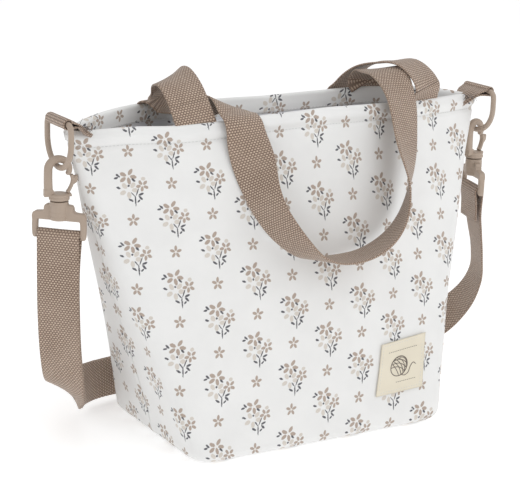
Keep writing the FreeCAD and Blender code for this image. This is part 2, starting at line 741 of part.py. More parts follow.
# left fall, middle of the two layers, rear run to bar: same columns
LEFT_FALL = [
    (-80.0, REAR_Y, RUN_Z, 0, 0, 1), (-112.0, REAR_Y - 1, RUN_Z, 0, 0, 1),
    (-134.0, 73.0, RUN_Z + 0.8, 0.05, -0.05, 1), (-151.0, 57.0, 21.0, 0.25, -0.25, 0.94),
    (-163.0, 38.0, 30.0, 0.45, -0.45, 0.77), (-170.0, 21.0, 48.0, 0.62, -0.62, 0.48),
    (-174.0, 11.0, 72.0, 0.69, -0.69, 0.18),
    (-174.5, 6.5, 100.0, *LEFT_ALONG), (-173.6, 5.4, 128.0, *LEFT_ALONG),
]


def bar_turn(bar, along, start_dir, steps):
    """Half turn over a strap bar, starting on the start_dir side."""
    angles = [math.pi * k / steps for k in range(steps + 1)]
    return [(bar + start_dir * (TURN_RADIUS * math.cos(a)) + UP * (TURN_RADIUS * math.sin(a)),
             along) for a in angles]


def left_layer(shift):
    """Left fall control stations moved along the band's normal."""
    path = stations(LEFT_FALL)
    layer = []
    for i, (centre, width_dir) in enumerate(path):
        normal = unit(travel_at(path, i).cross(unit(width_dir)))
        layer.append((centre + normal * shift, unit(width_dir)))
    return layer


def shoulder_strap():
    """One band: round the right bar, down, behind the base, up and over the
    left bar, and back down as a second layer that ends at the adjuster."""
    tail = [(RIGHT_BAR - RIGHT_OUT * inwards - UP * depth, RIGHT_ALONG)
            for depth, inwards in RIGHT_TAIL]
    right_turn = bar_turn(RIGHT_BAR, RIGHT_ALONG, RIGHT_OUT * -1, 10)
    right_fall = smooth([
        (RIGHT_BAR + RIGHT_OUT * TURN_RADIUS, RIGHT_ALONG),
        (RIGHT_BAR + RIGHT_OUT * 2.0 + V(1.0, 0, -20), RIGHT_ALONG),
    ] + stations(RIGHT_FALL), 5)

    rising = left_layer(-LAYER_PITCH / 2)
    falling = left_layer(LAYER_PITCH / 2)
    left_turn = bar_turn(LEFT_BAR, LEFT_ALONG, LEFT_OUT, 12)
    # stations just below the bar on either side of it
    aside = LEFT_OUT * (TURN_RADIUS - 0.3)
    below = LEFT_BAR - UP * 7
    up = smooth([(V(0.0, rising[0][0].y, RUN_Z), UP)] + rising
                + [(below + aside, LEFT_ALONG), left_turn[0]], 5)
    down = smooth([left_turn[-1], (below - aside, LEFT_ALONG)] + falling[::-1]
                  + [(V(-19.2, falling[0][0].y, RUN_Z), UP)], 5)
    path = tail + right_turn + right_fall[1:] + up[:-1] + left_turn + down[1:]
    feature("shoulder_strap", webbing(path))


shoulder_strap()

# ------------------------------------------------------------ strap adjuster
GLIDE_X = 2.0
GLIDE_INNER, GLIDE_OUTER = 2.7, 5.2   # bar faces from the strap's middle
SLOT_HIGH = 31.0
# sewn end round the middle bar: x from the adjuster, y from the inner layer
SEWN_END = [
    (-20.6, LAYER_PITCH), (-14.0, 2.3), (-10.5, 2.3), (-7.5, 2.7), (-4.6, 4.4), (-3.2, 5.8),
    (0.0, 6.6), (3.0, 6.0), (3.3, 4.4), (2.9, 2.9), (0.4, 2.3),
]


def strap_adjuster():
    """Three-bar slide on the rear run; the inner layer runs straight through it."""
    body = new_body("strap_adjuster")
    sketch = sketch_on(body, "XZ", "adjuster")
    rect(sketch, 0, 0, dim.glide_len, dim.glide_high, cell("glide_len"), cell("glide_high"))
    pad(body, sketch, "%g" % (2 * GLIDE_OUTER))
    for name, x in (("SlotA", -6.0), ("SlotB", 6.0)):
        sketch = sketch_on(body, "XZ", "adjuster_" + name)
        rect(sketch, x, 0, 8.4, SLOT_HIGH)
        pocket(body, sketch, name)
    # take away the front part of the block
    cut_long = dim.glide_len + 4
    sketch = sketch_on(body, "XY", "adjuster_trim")
    rect(sketch, 0, -(GLIDE_OUTER + GLIDE_INNER) / 2 - 0.5,
         cut_long, GLIDE_OUTER - GLIDE_INNER + 1.0)
    pocket(body, sketch, "Trim")
    # channel for the strap in front of the bars
    sketch = sketch_on(body, "XY", "adjuster_channel")
    rect(sketch, 0, 1.25, cut_long, 4.7)
    pocket(body, sketch, "Channel", length=SLOT_HIGH)
    place(body, GLIDE_X, INNER_Y, RUN_Z)


strap_adjuster()
feature("strap_sewn_end",
        webbing([(V(GLIDE_X + x, INNER_Y + y, RUN_Z), UP) for x, y in SEWN_END]))

# --------------------------------------------------------------- two handles
SEW_DEPTH = 23.0                      # handle ends reach this far below the rim
FOLD_Y, FOLD_Z = 6.0, 258.0           # fold line of the front handle
BEND_Y, BEND_Z = -30.0, 231.5         # bend line of the rear handle
FOLD_GAP = 0.25                       # pieces stop this far from a fold or bend
RISER_LIFT = 1.8                      # riser start above the sewn end

# x shift at mid height, x shift at the fold, tilt of the width direction
RISERS = {LEFT: (-11.0, -10.0, 0.16), RIGHT: (2.0, -6.0, 0.0)}
# front loop between its fold ends: centre x, y, z, width direction x, y, z
FRONT_LOOP = [
    (-82.0, 30.0, 250.5, 0.96, -0.15, 0.18), (-73.5, 46.0, 243.0, 0.93, -0.12, 0.3),
    (-63.5, 58.5, 232.0, 0.9, -0.05, 0.42), (-51.5, 65.0, 216.0, 0.82, 0.15, 0.55),
    (-38.0, 67.5, 200.0, 0.7, 0.35, 0.62), (-24.0, 70.5, 184.0, 0.6, 0.52, 0.6),
    (-10.5, 74.0, 168.0, 0.5, 0.67, 0.55), (3.0, 77.0, 152.5, 0.37, 0.8, 0.47),
    (18.0, 78.5, 137.5, 0.24, 0.9, 0.35), (34.5, 79.0, 125.5, 0.12, 0.97, 0.21),
    (54.0, 78.5, 120.5, 0.02, 0.99, 0.1), (72.0, 76.0, 130.0, -0.1, 0.97, 0.2),
    (79.0, 72.0, 148.5, -0.3, 0.92, 0.26), (80.5, 67.0, 168.5, -0.55, 0.8, 0.23),
    (82.5, 64.0, 188.5, -0.77, 0.6, 0.2), (87.0, 65.0, 208.0, -0.92, 0.33, 0.22),
    (92.0, 59.5, 229.0, -0.98, 0.03, 0.18), (97.0, 46.5, 245.0, -0.97, -0.2, 0.04),
    (101.5, 29.0, 252.5, -0.97, -0.22, 0.0),
]
# rear handle legs: x shift of the sewn end, x at the bend, stations between
REAR_LEGS = {
    LEFT: (2.0, -52.0, [
        (-84.0, 44.0, 232.6, 0.98, 0.2, 0), (-70.0, 24.0, 233.8, 0.88, 0.47, 0),
        (-55.0, 2.0, 234.6, 0.92, 0.38, 0), (-49.8, -14.0, 234.9, 1.0, 0.03, 0)]),
    RIGHT: (-19.9, 80.0, [
        (91.0, 42.0, 238.5, 1.0, 0.0, 0), (86.0, 28.0, 244.5, 0.97, -0.2, 0),
        (80.0, 13.0, 248.5, 0.99, -0.12, 0), (76.5, -3.0, 246.5, 1.0, 0.0, 0),
        (76.5, -16.0, 240.5, 1.0, 0.0, 0)]),
}
# rear loop between its bend ends: same columns as the front loop
REAR_LOOP = [
    (-52.6, -36.5, 222.0, 1.0, -0.02, 0.06), (-50.4, -38.2, 208.0, 0.94, -0.25, 0.22),
    (-47.5, -42.5, 195.0, 0.67, -0.63, 0.39), (-45.0, -50.2, 176.0, 0.36, -0.82, 0.45),
    (-34.6, -56.6, 157.3, 0.24, -0.87, 0.43), (-20.4, -61.0, 141.0, 0.14, -0.92, 0.36),
    (-0.5, -62.2, 132.2, 0.05, -0.99, 0.14), (21.9, -61.2, 132.0, 0.02, -1.0, 0.07),
    (43.6, -59.4, 137.3, -0.01, -0.98, 0.2), (61.5, -56.2, 150.0, -0.14, -0.91, 0.38),
    (73.1, -50.2, 167.8, -0.38, -0.78, 0.49), (79.0, -43.5, 186.7, -0.7, -0.54, 0.47),
    (82.3, -39.5, 205.6, -0.9, -0.25, 0.33), (81.8, -37.0, 221.5, -0.99, -0.04, 0.1),
]


def handle_x(side):
    return dim.handle_shift + side * dim.handle_pitch / 2


def in_wadding(x, z, half):
    """Station in the middle of the wadding space, its width along the wall."""
    points, seam_y = half_outline(z, half)
    middle = PAD_OUT + dim.pad_thick / 2
    y, run = outline_at(offset_clip(points, middle, half, seam_y, SEAM_GAP), x)
    return V(x, y, z), run


def sewn_end(x, half):
    """Lower station, rim station and the slope from one to the other."""
    low = in_wadding(x, dim.bag_height - SEW_DEPTH, half)
    rim = in_wadding(x, dim.bag_height, half)
    return low, rim, rim[0] - low[0]


def front_handle():
    """Sewn ends, risers to the fold line, and the loop hanging behind the bag."""
    risers = []
    fold_x = {}
    for name, side in SIDES:
        low, (rim, rim_dir), slope = sewn_end(handle_x(side), FRONT)
        top = rim + slope * 0.02
        feature("front_handle_%s_end" % name,
                webbing([low, (top, rim_dir)], slope, slope))
        mid_shift, fold_shift, tilt = RISERS[side]
        fold_x[side] = top.x + fold_shift
        path = smooth([
            (top + V(0, 0.4, RISER_LIFT), V(1, 0, 0)),
            (top + V(mid_shift * 0.35, 3.0, 13.0), V(1, 0, tilt * 0.5)),
            (top + V(mid_shift * 0.8, 9.0, 23.0), V(1, 0, tilt)),
            (V(fold_x[side], FOLD_Y - 8.0, FOLD_Z - 2.2), V(1, 0, tilt * 0.5)),
            (V(fold_x[side], FOLD_Y - FOLD_GAP, FOLD_Z), V(1, 0, 0)),
        ], 5)
        risers.append(webbing(path, (0, 0.2, 1), (0, 1, 0), square=False))
    feature("front_handle_risers", Part.makeCompound(risers))

    left_x, right_x = fold_x[LEFT], fold_x[RIGHT]
    loop = smooth(stations([
        (left_x, FOLD_Y + FOLD_GAP, FOLD_Z, 1, 0, 0),
        (left_x + 1.5, FOLD_Y + 9.0, FOLD_Z - 2.2, 1, -0.05, 0),
    ] + FRONT_LOOP + [
        (right_x - 2.0, FOLD_Y + 9.0, FOLD_Z - 1.2, -1, -0.1, 0),
        (right_x, FOLD_Y + FOLD_GAP, FOLD_Z, -1, 0, 0),
    ]), 4)
    feature("front_handle_loop", webbing(loop, (0, 1, 0), (0, -1, 0), square=False))


def rear_handle():
    """Legs forward from the rear rim under the front handle, and the loop
    hanging before the front panel."""
    legs = []
    for side in (LEFT, RIGHT):
        x_shift, bend_x, between = REAR_LEGS[side]
        low, (rim, rim_dir), slope = sewn_end(handle_x(side) + x_shift, REAR)
        bend = (bend_x, BEND_Y + FOLD_GAP, BEND_Z + FOLD_GAP, 1, 0, 0)
        controls = [(rim, rim_dir), (rim + slope * 0.10, rim_dir)] + stations(between + [bend])
        legs.append(webbing([low] + smooth(controls, 5), slope, (0, -1, -1), square=False))
    feature("rear_handle_legs", Part.makeCompound(legs))

    y, z = BEND_Y - FOLD_GAP, BEND_Z - FOLD_GAP
    start = (REAR_LEGS[LEFT][1], y, z, 1, 0, 0)
    end = (REAR_LEGS[RIGHT][1], y, z, -1, 0, 0)
    loop = smooth(stations([start] + REAR_LOOP + [end]), 5)
    feature("rear_handle_loop", webbing(loop, (0, -1, -1), (0, 1, 1), square=False))


front_handle()
rear_handle()

# --------------------------------------------------------------- woven label
LABEL_REACH = 18                      # the wall's slope is taken this far each way
LABEL_LIFT = 0.7                      # label's back from the outer face


def woven_label():
    """Flat label laid along the slope of the front panel."""
    body = new_body("woven_label")
    sketch = sketch_on(body, "XY", "label")
    rect(sketch, 0, 0, dim.label_size, dim.label_size + 1,
         cell("label_size"), cell("label_size") + " + 1")
    pad(body, sketch, cell("label_thick"), symmetric=False)

    def wall_point(step_x, step_z):
        x = dim.label_x + step_x * LABEL_REACH
        z = dim.label_z + step_z * LABEL_REACH
        return V(x, outline_at(half_outline(z, FRONT)[0], x)[0], z)

    across = unit(wall_point(1, 0) - wall_point(-1, 0))
    rising = unit(wall_point(0, 1) - wall_point(0, -1))
    normal = unit(across.cross(rising))              # points forward
    upward = unit(normal.cross(across))
    origin = wall_point(0, 0) + normal * LABEL_LIFT
    body.Placement = FreeCAD.Placement(FreeCAD.Matrix(
        across.x, upward.x, normal.x, origin.x,
        across.y, upward.y, normal.y, origin.y,
        across.z, upward.z, normal.z, origin.z,
        0, 0, 0, 1))


woven_label()


# --------------------------------------------------------- checks and export
def check_and_export():
    doc.recompute()
    bad = []
    for obj in doc.Objects:
        if "Invalid" in obj.State or "Error" in obj.State:
            bad.append(obj.Name + " state " + ",".join(obj.State))
    for obj in PARTS:
        shape = obj.Shape
        if shape.isNull() or not shape.isValid() or shape.Volume <= 0 or not shape.Solids:
            bad.append(obj.Label + " shape")
    if bad:
        raise RuntimeError("; ".join(bad))
    os.makedirs("parts", exist_ok=True)
    for obj in PARTS:
        obj.Shape.exportStep("parts/%s.step" % obj.Label)


check_and_export()
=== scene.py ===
"""A soft zipped bag in printed cloth, with webbing handles, shoulder strap and sewn label.

Lengths are in millimetres unless a comment says otherwise. X runs along the bag, the front
wall faces -Y, Z is up and the base lies on z = 0. "left" is -X. The front and rear walls
meet at side seams on a plane that leans towards +Y as it rises.
"""
import math
import random

import bmesh
import bpy
import numpy as np
from mathutils import Matrix, Vector


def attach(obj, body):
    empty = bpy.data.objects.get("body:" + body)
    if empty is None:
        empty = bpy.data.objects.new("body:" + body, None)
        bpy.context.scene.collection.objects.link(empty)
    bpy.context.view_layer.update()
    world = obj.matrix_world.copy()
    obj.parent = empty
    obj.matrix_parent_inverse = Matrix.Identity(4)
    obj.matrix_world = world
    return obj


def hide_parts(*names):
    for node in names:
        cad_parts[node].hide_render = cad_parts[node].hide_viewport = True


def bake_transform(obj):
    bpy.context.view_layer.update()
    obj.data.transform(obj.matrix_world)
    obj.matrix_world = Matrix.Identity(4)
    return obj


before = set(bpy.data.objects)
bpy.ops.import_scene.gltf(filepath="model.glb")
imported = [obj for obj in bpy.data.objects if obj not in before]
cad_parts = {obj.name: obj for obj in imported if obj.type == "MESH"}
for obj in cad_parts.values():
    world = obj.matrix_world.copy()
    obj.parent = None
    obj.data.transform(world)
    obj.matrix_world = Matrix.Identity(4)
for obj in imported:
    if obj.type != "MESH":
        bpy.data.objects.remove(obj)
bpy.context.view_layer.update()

MM = 0.001
FRONT, REAR = -1, 1
WALLS = ((FRONT, "front"), (REAR, "rear"))
X_AXIS, Y_AXIS, Z_AXIS = np.eye(3)


# ------------------------------------------------------------ numbers and paths
def smoothstep(start, end, x):
    t = np.clip((np.asarray(x, float) - start) / (end - start), 0.0, 1.0)
    return t * t * (3 - 2 * t)


def unit(vector):
    vector = np.asarray(vector, float)
    length = np.linalg.norm(vector)
    return vector / length if length > 1e-12 else vector


def travelled(points):
    """Distance along a polyline at each of its points."""
    return np.r_[0, np.cumsum(np.linalg.norm(np.diff(points, axis=0), axis=1))]


def sample(places, distance, table):
    """Rows of the table read at places along the distance."""
    return np.column_stack([np.interp(places, distance, column) for column in table.T])


def soften(points):
    """Averages each inner row with its neighbours."""
    result = points.copy()
    result[1:-1] = 0.25 * points[:-2] + 0.5 * points[1:-1] + 0.25 * points[2:]
    return result


def tangent(path, i):
    return unit(path[min(len(path) - 1, i + 1)] - path[max(0, i - 1)])


def spline(points, steps):
    """Catmull-Rom curve through rows of any width, with steps per span."""
    p = [np.asarray(row, float) for row in points]
    result = []
    for i in range(len(p) - 1):
        a, b, c, d = p[max(0, i - 1)], p[i], p[i + 1], p[min(len(p) - 1, i + 2)]
        for k in range(steps):
            u = k / float(steps)
            result.append(0.5 * (2 * b + (c - a) * u + (2 * a - 5 * b + 4 * c - d) * u * u
                                 + (3 * b - a - 3 * c + d) * u ** 3))
    result.append(p[-1])
    return np.array(result)


def spread(count, values, knots=None):
    """Values interpolated to count even steps; knots are their places from 0 to 1."""
    if knots is None:
        knots = np.linspace(0, 1, len(values))
    return np.interp(np.linspace(0, 1, count), knots, values)


# ---------------------------------------------------------------------- meshes
def new_mesh(name, verts, faces, uvs=None):
    """Smooth object from mm vertices; uvs holds one mm pair per vertex, kept in metres."""
    mesh = bpy.data.meshes.new(name)
    mesh.from_pydata([tuple(float(c) * MM for c in v) for v in verts], [],
                     [tuple(int(i) for i in face) for face in faces])
    if uvs is not None:
        layer = mesh.uv_layers.new(name="cloth")
        index = np.zeros(len(mesh.loops), np.int32)
        mesh.loops.foreach_get("vertex_index", index)
        uvs = (np.asarray(uvs, float) * MM).astype(np.float32)
        layer.data.foreach_set("uv", uvs[index].ravel())
    mesh.validate()
    smooth_faces(mesh)
    mesh.update()
    ob = bpy.data.objects.new(name, mesh)
    bpy.context.scene.collection.objects.link(ob)
    return ob


def smooth_faces(mesh):
    mesh.polygons.foreach_set("use_smooth", [True] * len(mesh.polygons))


def solid_mesh(name, verts, faces, uvs=None):
    """A new mesh with its face normals turned outwards."""
    ob = new_mesh(name, verts, faces, uvs)
    bm = bmesh.new()
    bm.from_mesh(ob.data)
    bmesh.ops.recalc_face_normals(bm, faces=bm.faces)
    bm.to_mesh(ob.data)
    bm.free()
    ob.data.update()
    return ob


def apply_modifiers(ob):
    bpy.context.view_layer.update()
    graph = bpy.context.evaluated_depsgraph_get()
    mesh = bpy.data.meshes.new_from_object(ob.evaluated_get(graph), preserve_all_data_layers=True,
                                           depsgraph=graph)
    old = ob.data
    ob.modifiers.clear()
    ob.data = mesh
    bpy.data.meshes.remove(old)


def thicken(ob, thickness, offset):
    solidify = ob.modifiers.new("thickness", "SOLIDIFY")
    solidify.thickness = thickness * MM
    solidify.offset = offset
    apply_modifiers(ob)


def move_vertices(mesh, change):
    """Passes the vertices, in mm, through change and stores the result."""
    points = np.zeros(len(mesh.vertices) * 3, np.float32)
    mesh.vertices.foreach_get("co", points)
    points = change(points.reshape(-1, 3) * 1000.0) * MM
    mesh.vertices.foreach_set("co", points.astype(np.float32).ravel())
    mesh.update()


def paint(ob, material):
    ob.data.materials.clear()
    ob.data.materials.append(material)


def enrol(ob, material, *replaced, rides="bag", slot=None):
    """Paints a piece and says what it rides on and which CAD pieces it replaces; slot is not used."""
    paint(ob, material)
    if rides:
        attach(ob, rides)
    if replaced:
        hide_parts(*replaced)
    return ob


def grid_faces(rows, columns, closed=False, flip=False):
    faces = []
    for i in range(rows - 1):
        for j in range(columns if closed else columns - 1):
            a, b = i * columns + j, i * columns + (j + 1) % columns
            c, d = b + columns, a + columns
            faces.append((a, d, c, b) if flip else (a, b, c, d))
    return faces


# The shape functions below return a (vertices, faces) pair.
def join(parts):
    verts, faces = [], []
    for part_verts, part_faces in parts:
        base = len(verts)
        verts += [tuple(v) for v in part_verts]
        faces += [tuple(base + i for i in face) for face in part_faces]
    return verts, faces


def ring(centre, axis_a, axis_b, radius_a, radius_b, count, squareness=2.0):
    """Points of an ellipse, or of a squarer closed curve when squareness is above 2."""
    points = []
    for k in range(count):
        angle = 2 * math.pi * k / count
        c, s = math.cos(angle), math.sin(angle)
        c = math.copysign(abs(c) ** (2 / squareness), c)
        s = math.copysign(abs(s) ** (2 / squareness), s)
        points.append(centre + axis_a * radius_a * c + axis_b * radius_b * s)
    return points


def tube(rings):
    """Closed solid through a row of rings."""
    rows, count = len(rings), len(rings[0])
    faces = grid_faces(rows, count, closed=True)
    faces.append(tuple(reversed(range(count))))
    faces.append(tuple((rows - 1) * count + k for k in range(count)))
    return [v for points in rings for v in points], faces


def sweep(path, across, along, count=20, squareness=2.0, axis=Y_AXIS):
    """Bar along a path; radius across lies in the path's plane, radius along lies on axis."""
    path = np.asarray(path, float)
    across = np.broadcast_to(np.asarray(across, float), (len(path),))
    along = np.broadcast_to(np.asarray(along, float), (len(path),))
    axis = unit(axis)
    return tube([ring(path[i], unit(np.cross(axis, tangent(path, i))), axis, across[i], along[i],
                      count, squareness) for i in range(len(path))])


def lathe(profile, count=48):
    """Solid of revolution about Z from (radius, z) pairs."""
    return tube([ring(np.array([0, 0, z]), X_AXIS, Y_AXIS, radius, radius, count)
                 for radius, z in profile])


def block(x0, x1, y0, y1, z0, z1):
    verts = [(x, y, z) for x in (x0, x1) for y in (y0, y1) for z in (z0, z1)]
    return verts, [(0, 1, 3, 2), (4, 6, 7, 5), (0, 4, 5, 1), (2, 3, 7, 6), (0, 2, 6, 4), (1, 5, 7, 3)]


def prism(outline, y0, y1):
    """Closed XZ outline pushed from y0 to y1."""
    n = len(outline)
    verts = [(x, y, z) for y in (y0, y1) for x, z in outline]
    faces = [tuple(range(n)), tuple(reversed(range(n, 2 * n)))]
    return verts, faces + [(k, n + k, n + (k + 1) % n, (k + 1) % n) for k in range(n)]


# ------------------------------------------------------------------- materials
def linear(rgb, step=0):
    """Linear rgba of an sRGB 0-255 triple, with step added to each channel."""
    channels = [min(255, c + step) / 255.0 for c in rgb]
    return (*(c / 12.92 if c <= 0.04045 else ((c + 0.055) / 1.055) ** 2.4 for c in channels), 1.0)


class Value:
    """A shader output; arithmetic on it adds Math nodes."""

    def __init__(self, shader, socket):
        self.shader = shader
        self.socket = socket

    def __add__(self, other):
        return self.shader.math("ADD", self, other)

    def __radd__(self, other):
        return self.shader.math("ADD", other, self)

    def __sub__(self, other):
        return self.shader.math("SUBTRACT", self, other)

    def __mul__(self, other):
        return self.shader.math("MULTIPLY", self, other)

    def __truediv__(self, other):
        return self.shader.math("DIVIDE", self, other)


class Shader:
    """Builds one material's node tree around a Principled BSDF."""

    def __init__(self, name):
        self.material = bpy.data.materials.new(name)
        self.material.use_nodes = True
        self.tree = self.material.node_tree
        self.tree.nodes.clear()
        output = self.add("OutputMaterial")
        self.bsdf = self.add("BsdfPrincipled")
        self.tree.links.new(self.bsdf.outputs[0], output.inputs[0])

    def put(self, socket, value):
        if isinstance(value, Value):
            self.tree.links.new(value.socket, socket)
        else:
            socket.default_value = value

    def add(self, kind, *inputs, **settings):
        node = self.tree.nodes.new("ShaderNode" + kind)
        for key, setting in settings.items():
            setattr(node, key, setting)
        for socket, value in zip(node.inputs, inputs):
            self.put(socket, value)
        return node

    def out(self, kind, *inputs, output=0, **settings):
        return Value(self, self.add(kind, *inputs, **settings).outputs[output])

    def math(self, operation, *values):
        return self.out("Math", *values, operation=operation)

    def wave(self, x, pitch):
        return self.math("SINE", x * (2 * math.pi / pitch))

    def ramp(self, x, start, end, low=0.0, high=1.0):
        return self.out("MapRange", x, start, end, low, high, interpolation_type="SMOOTHSTEP")

    def mix(self, factor, first, second):
        node = self.add("Mix", factor, data_type="RGBA")
        self.put(node.inputs[6], first)
        self.put(node.inputs[7], second)
        return Value(self, node.outputs[2])

    def tones(self, factor, rgb, darker, lighter=0):
        """Mix of two tones of one colour, as steps down and up from it."""
        return self.mix(factor, linear(rgb, -darker), linear(rgb, lighter))

    def uv(self):
        return self.out("UVMap", uv_map="cloth")

    def position(self):
        return self.out("TexCoord", output="Object")

    def separate(self, vector):
        return [Value(self, socket) for socket in self.add("SeparateXYZ", vector).outputs]

    def combine(self, x, y):
        return self.out("CombineXYZ", x, y, 0.0)

    def noise(self, vector, scale, detail=2.0):
        node = self.add("TexNoise", vector)
        node.inputs["Scale"].default_value = scale
        node.inputs["Detail"].default_value = detail
        return Value(self, node.outputs[0])

    def bump(self, height, strength, distance):
        """Surface relief; distance is in metres."""
        node = self.add("Bump")
        node.inputs["Strength"].default_value = strength
        node.inputs["Distance"].default_value = distance
        self.put(node.inputs["Height"], height)
        self.put(self.bsdf.inputs["Normal"], Value(self, node.outputs[0]))

    def ellipse(self, point, x, y, radius_x, radius_y, degrees=0, soft=0.16):
        """1 inside an ellipse of the motif plane, 0 outside."""
        local = self.out("Mapping", point, (x, y, 0), (0, 0, math.radians(degrees)),
                         (radius_x, radius_y, 1.0), vector_type="TEXTURE")
        radius = self.out("VectorMath", local, output=1, operation="LENGTH")
        return self.ramp(radius, 1.0 + soft, 1.0 - soft)

    def petals(self, point, centre, tips, length, width):
        """Ellipses near the tips, each pointing away from the centre."""
        result = []
        for x, y in tips:
            degrees = math.degrees(math.atan2(y - centre[1], x - centre[0]))
            result.append(self.ellipse(point, x * 0.97 + centre[0] * 0.03,
                                       y * 0.97 + centre[1] * 0.03, length, width, degrees))
        return result

    def highest(self, values):
        result = values[0]
        for value in values[1:]:
            result = self.math("MAXIMUM", result, value)
        return result

    def finish(self, **values):
        """Sets Principled inputs, underscores standing for spaces, and gives the material."""
        for key, value in values.items():
            self.put(self.bsdf.inputs[key.replace("_", " ")], value)
        return self.material


# Printed sprig, x and y from the middle of its repeat
COLUMN_PITCH, REPEAT = 29.15, 46.8
BROWN_CENTRE, PALE_CENTRE, SMALL_CENTRE = (-2.13, 6.77), (-2.4, -2.6), (7.75, -0.26)
BROWN_TIPS = [(-5.17, 8.33), (0.15, 9.5), (2.13, 5.99), (-1.37, 3.39), (-5.6, 4.7)]
PALE_TIPS = [(-4.86, 0.52), (1.22, 0.52), (2.43, -3.12), (-1.98, -6.25), (-6.38, -4.17)]
SMALL_TIPS = [(6.53, 1.82), (10.0, 1.56), (10.33, -1.56), (7.45, -2.6), (4.86, -0.65)]
# Leaves and stems: x, y, half length, half width, turn in degrees
LEAVES = [
    (-8.8, 7.8, 1.75, 0.72, -42), (-10.3, 6.25, 1.45, 0.7, 8), (-9.27, -0.52, 1.6, 0.72, -20),
    (1.82, 3.9, 1.6, 0.72, -42), (-1.98, 0.26, 0.75, 0.75, 0), (6.4, -6.1, 1.9, 0.75, 18),
    (6.0, -8.6, 1.9, 0.75, -45), (-0.9, -9.6, 1.9, 0.72, -30), (4.6, -10.6, 1.3, 0.6, 40),
    (0.75, -5.85, 2.1, 0.42, -52), (3.9, -4.4, 2.8, 0.42, 66), (2.28, -10.4, 3.6, 0.5, 92),
]


def print_material(name, shear, base=(235, 235, 234)):
    """White cloth with a small repeating sprig and star print; shear leans its columns."""
    sh = Shader(name)
    uv = sh.uv()
    axes = sh.separate(uv)
    u = axes[0] * 1000.0
    v = axes[1] * 1000.0
    # The print runs slightly off grain above v = 105
    skew = sh.math("MAXIMUM", v - 105.0, 0.0) * (0.64 + u * 0.0029)
    u = u + skew * 0.19
    v = v - skew * 0.085
    # Columns of motifs, alternate ones shifted by half a repeat
    column_place = (u - (v - 75.0) * shear + 81.6) / COLUMN_PITCH
    column = sh.math("ROUND", column_place)
    across = (column_place - column) * COLUMN_PITCH
    odd = sh.math("ABSOLUTE", sh.math("MODULO", column, 2.0))
    sprig_place = (v - 52.4) / REPEAT + odd * -0.5
    sprig_up = (sprig_place - sh.math("ROUND", sprig_place)) * REPEAT
    star_place = sprig_place + 0.5
    star_up = (star_place - sh.math("ROUND", star_place)) * REPEAT
    wobble = (sh.noise(uv, scale=900.0, detail=1.0) - 0.5) * 0.7
    sprig = sh.combine(across + wobble, sprig_up + wobble)
    star = sh.combine(across + wobble * 0.6, star_up)

    brown = sh.highest(sh.petals(sprig, BROWN_CENTRE, BROWN_TIPS, length=2.35, width=1.3))
    pale = sh.highest(sh.petals(sprig, PALE_CENTRE, PALE_TIPS, length=2.2, width=1.5)
                      + [sh.ellipse(sprig, 8.8, 4.3, 1.5, 1.3)])
    small = sh.highest(sh.petals(sprig, SMALL_CENTRE, SMALL_TIPS, length=1.75, width=1.05))
    leaf = sh.highest([sh.ellipse(sprig, *row, soft=0.2) for row in LEAVES])
    # Five-petal star by folding the angle
    x, y, _ = sh.separate(star)
    angle = sh.math("ARCTAN2", y, x)
    radius = sh.math("SQRT", x * x + y * y)
    fold = sh.math("FLOORED_MODULO", angle + 0.35, 2 * math.pi / 5) - math.pi / 5
    folded = sh.combine(radius * sh.math("COSINE", fold), radius * sh.math("SINE", fold))
    star_petal = sh.ellipse(folded, 2.55, 0, 1.85, 1.0)

    def ink(dark, light):
        return sh.mix(sh.ramp(grain, 0.3, 0.7), linear(dark), linear(light))

    mottle = sh.noise(uv, scale=35.0, detail=3.0)
    colour = sh.tones(sh.ramp(mottle, 0.3, 0.7), base, darker=4)
    grain = sh.noise(uv, scale=2600.0, detail=1.0)
    colour = sh.mix(pale * 0.9, colour, ink((200, 192, 182), (216, 208, 199)))
    flowers = sh.highest([brown, small, star_petal])
    colour = sh.mix(flowers * 0.92, colour, ink((158, 140, 126), (178, 160, 146)))
    eye = sh.highest([sh.ellipse(sprig, *BROWN_CENTRE, 0.5, 0.5),
                      sh.ellipse(sprig, *SMALL_CENTRE, 0.4, 0.4),
                      sh.ellipse(star, 0, 0, 0.55, 0.55)])
    colour = sh.mix(eye * 0.8, colour, linear((230, 222, 214)))
    colour = sh.mix(leaf * 0.93, colour, ink((48, 48, 58), (74, 73, 82)))
    weave = sh.wave(u, pitch=0.45) * sh.wave(v, pitch=0.45) * 0.35
    sh.bump(weave + sh.noise(uv, scale=160.0) * 1.6, strength=0.25, distance=0.0004)
    return sh.finish(Base_Color=colour, Roughness=0.62, Specular_IOR_Level=0.32,
                     Sheen_Weight=0.12, Sheen_Roughness=0.5)


def plain_cloth(name, rgb, pitch, roughness):
    """Single-colour cloth with a plain weave of the given thread pitch."""
    sh = Shader(name)
    scale = sh.add("VectorMath", sh.position(), operation="SCALE")
    scale.inputs["Scale"].default_value = 1000.0
    x, y, z = sh.separate(Value(sh, scale.outputs[0]))
    sh.bump(sh.wave(x, pitch) * sh.wave(z + y, pitch), strength=0.3, distance=0.0002)
    mottle = sh.noise(sh.position(), scale=60.0, detail=3.0)
    return sh.finish(Base_Color=sh.tones(mottle, rgb, darker=7, lighter=4), Roughness=roughness,
                     Specular_IOR_Level=0.25, Sheen_Weight=0.15)


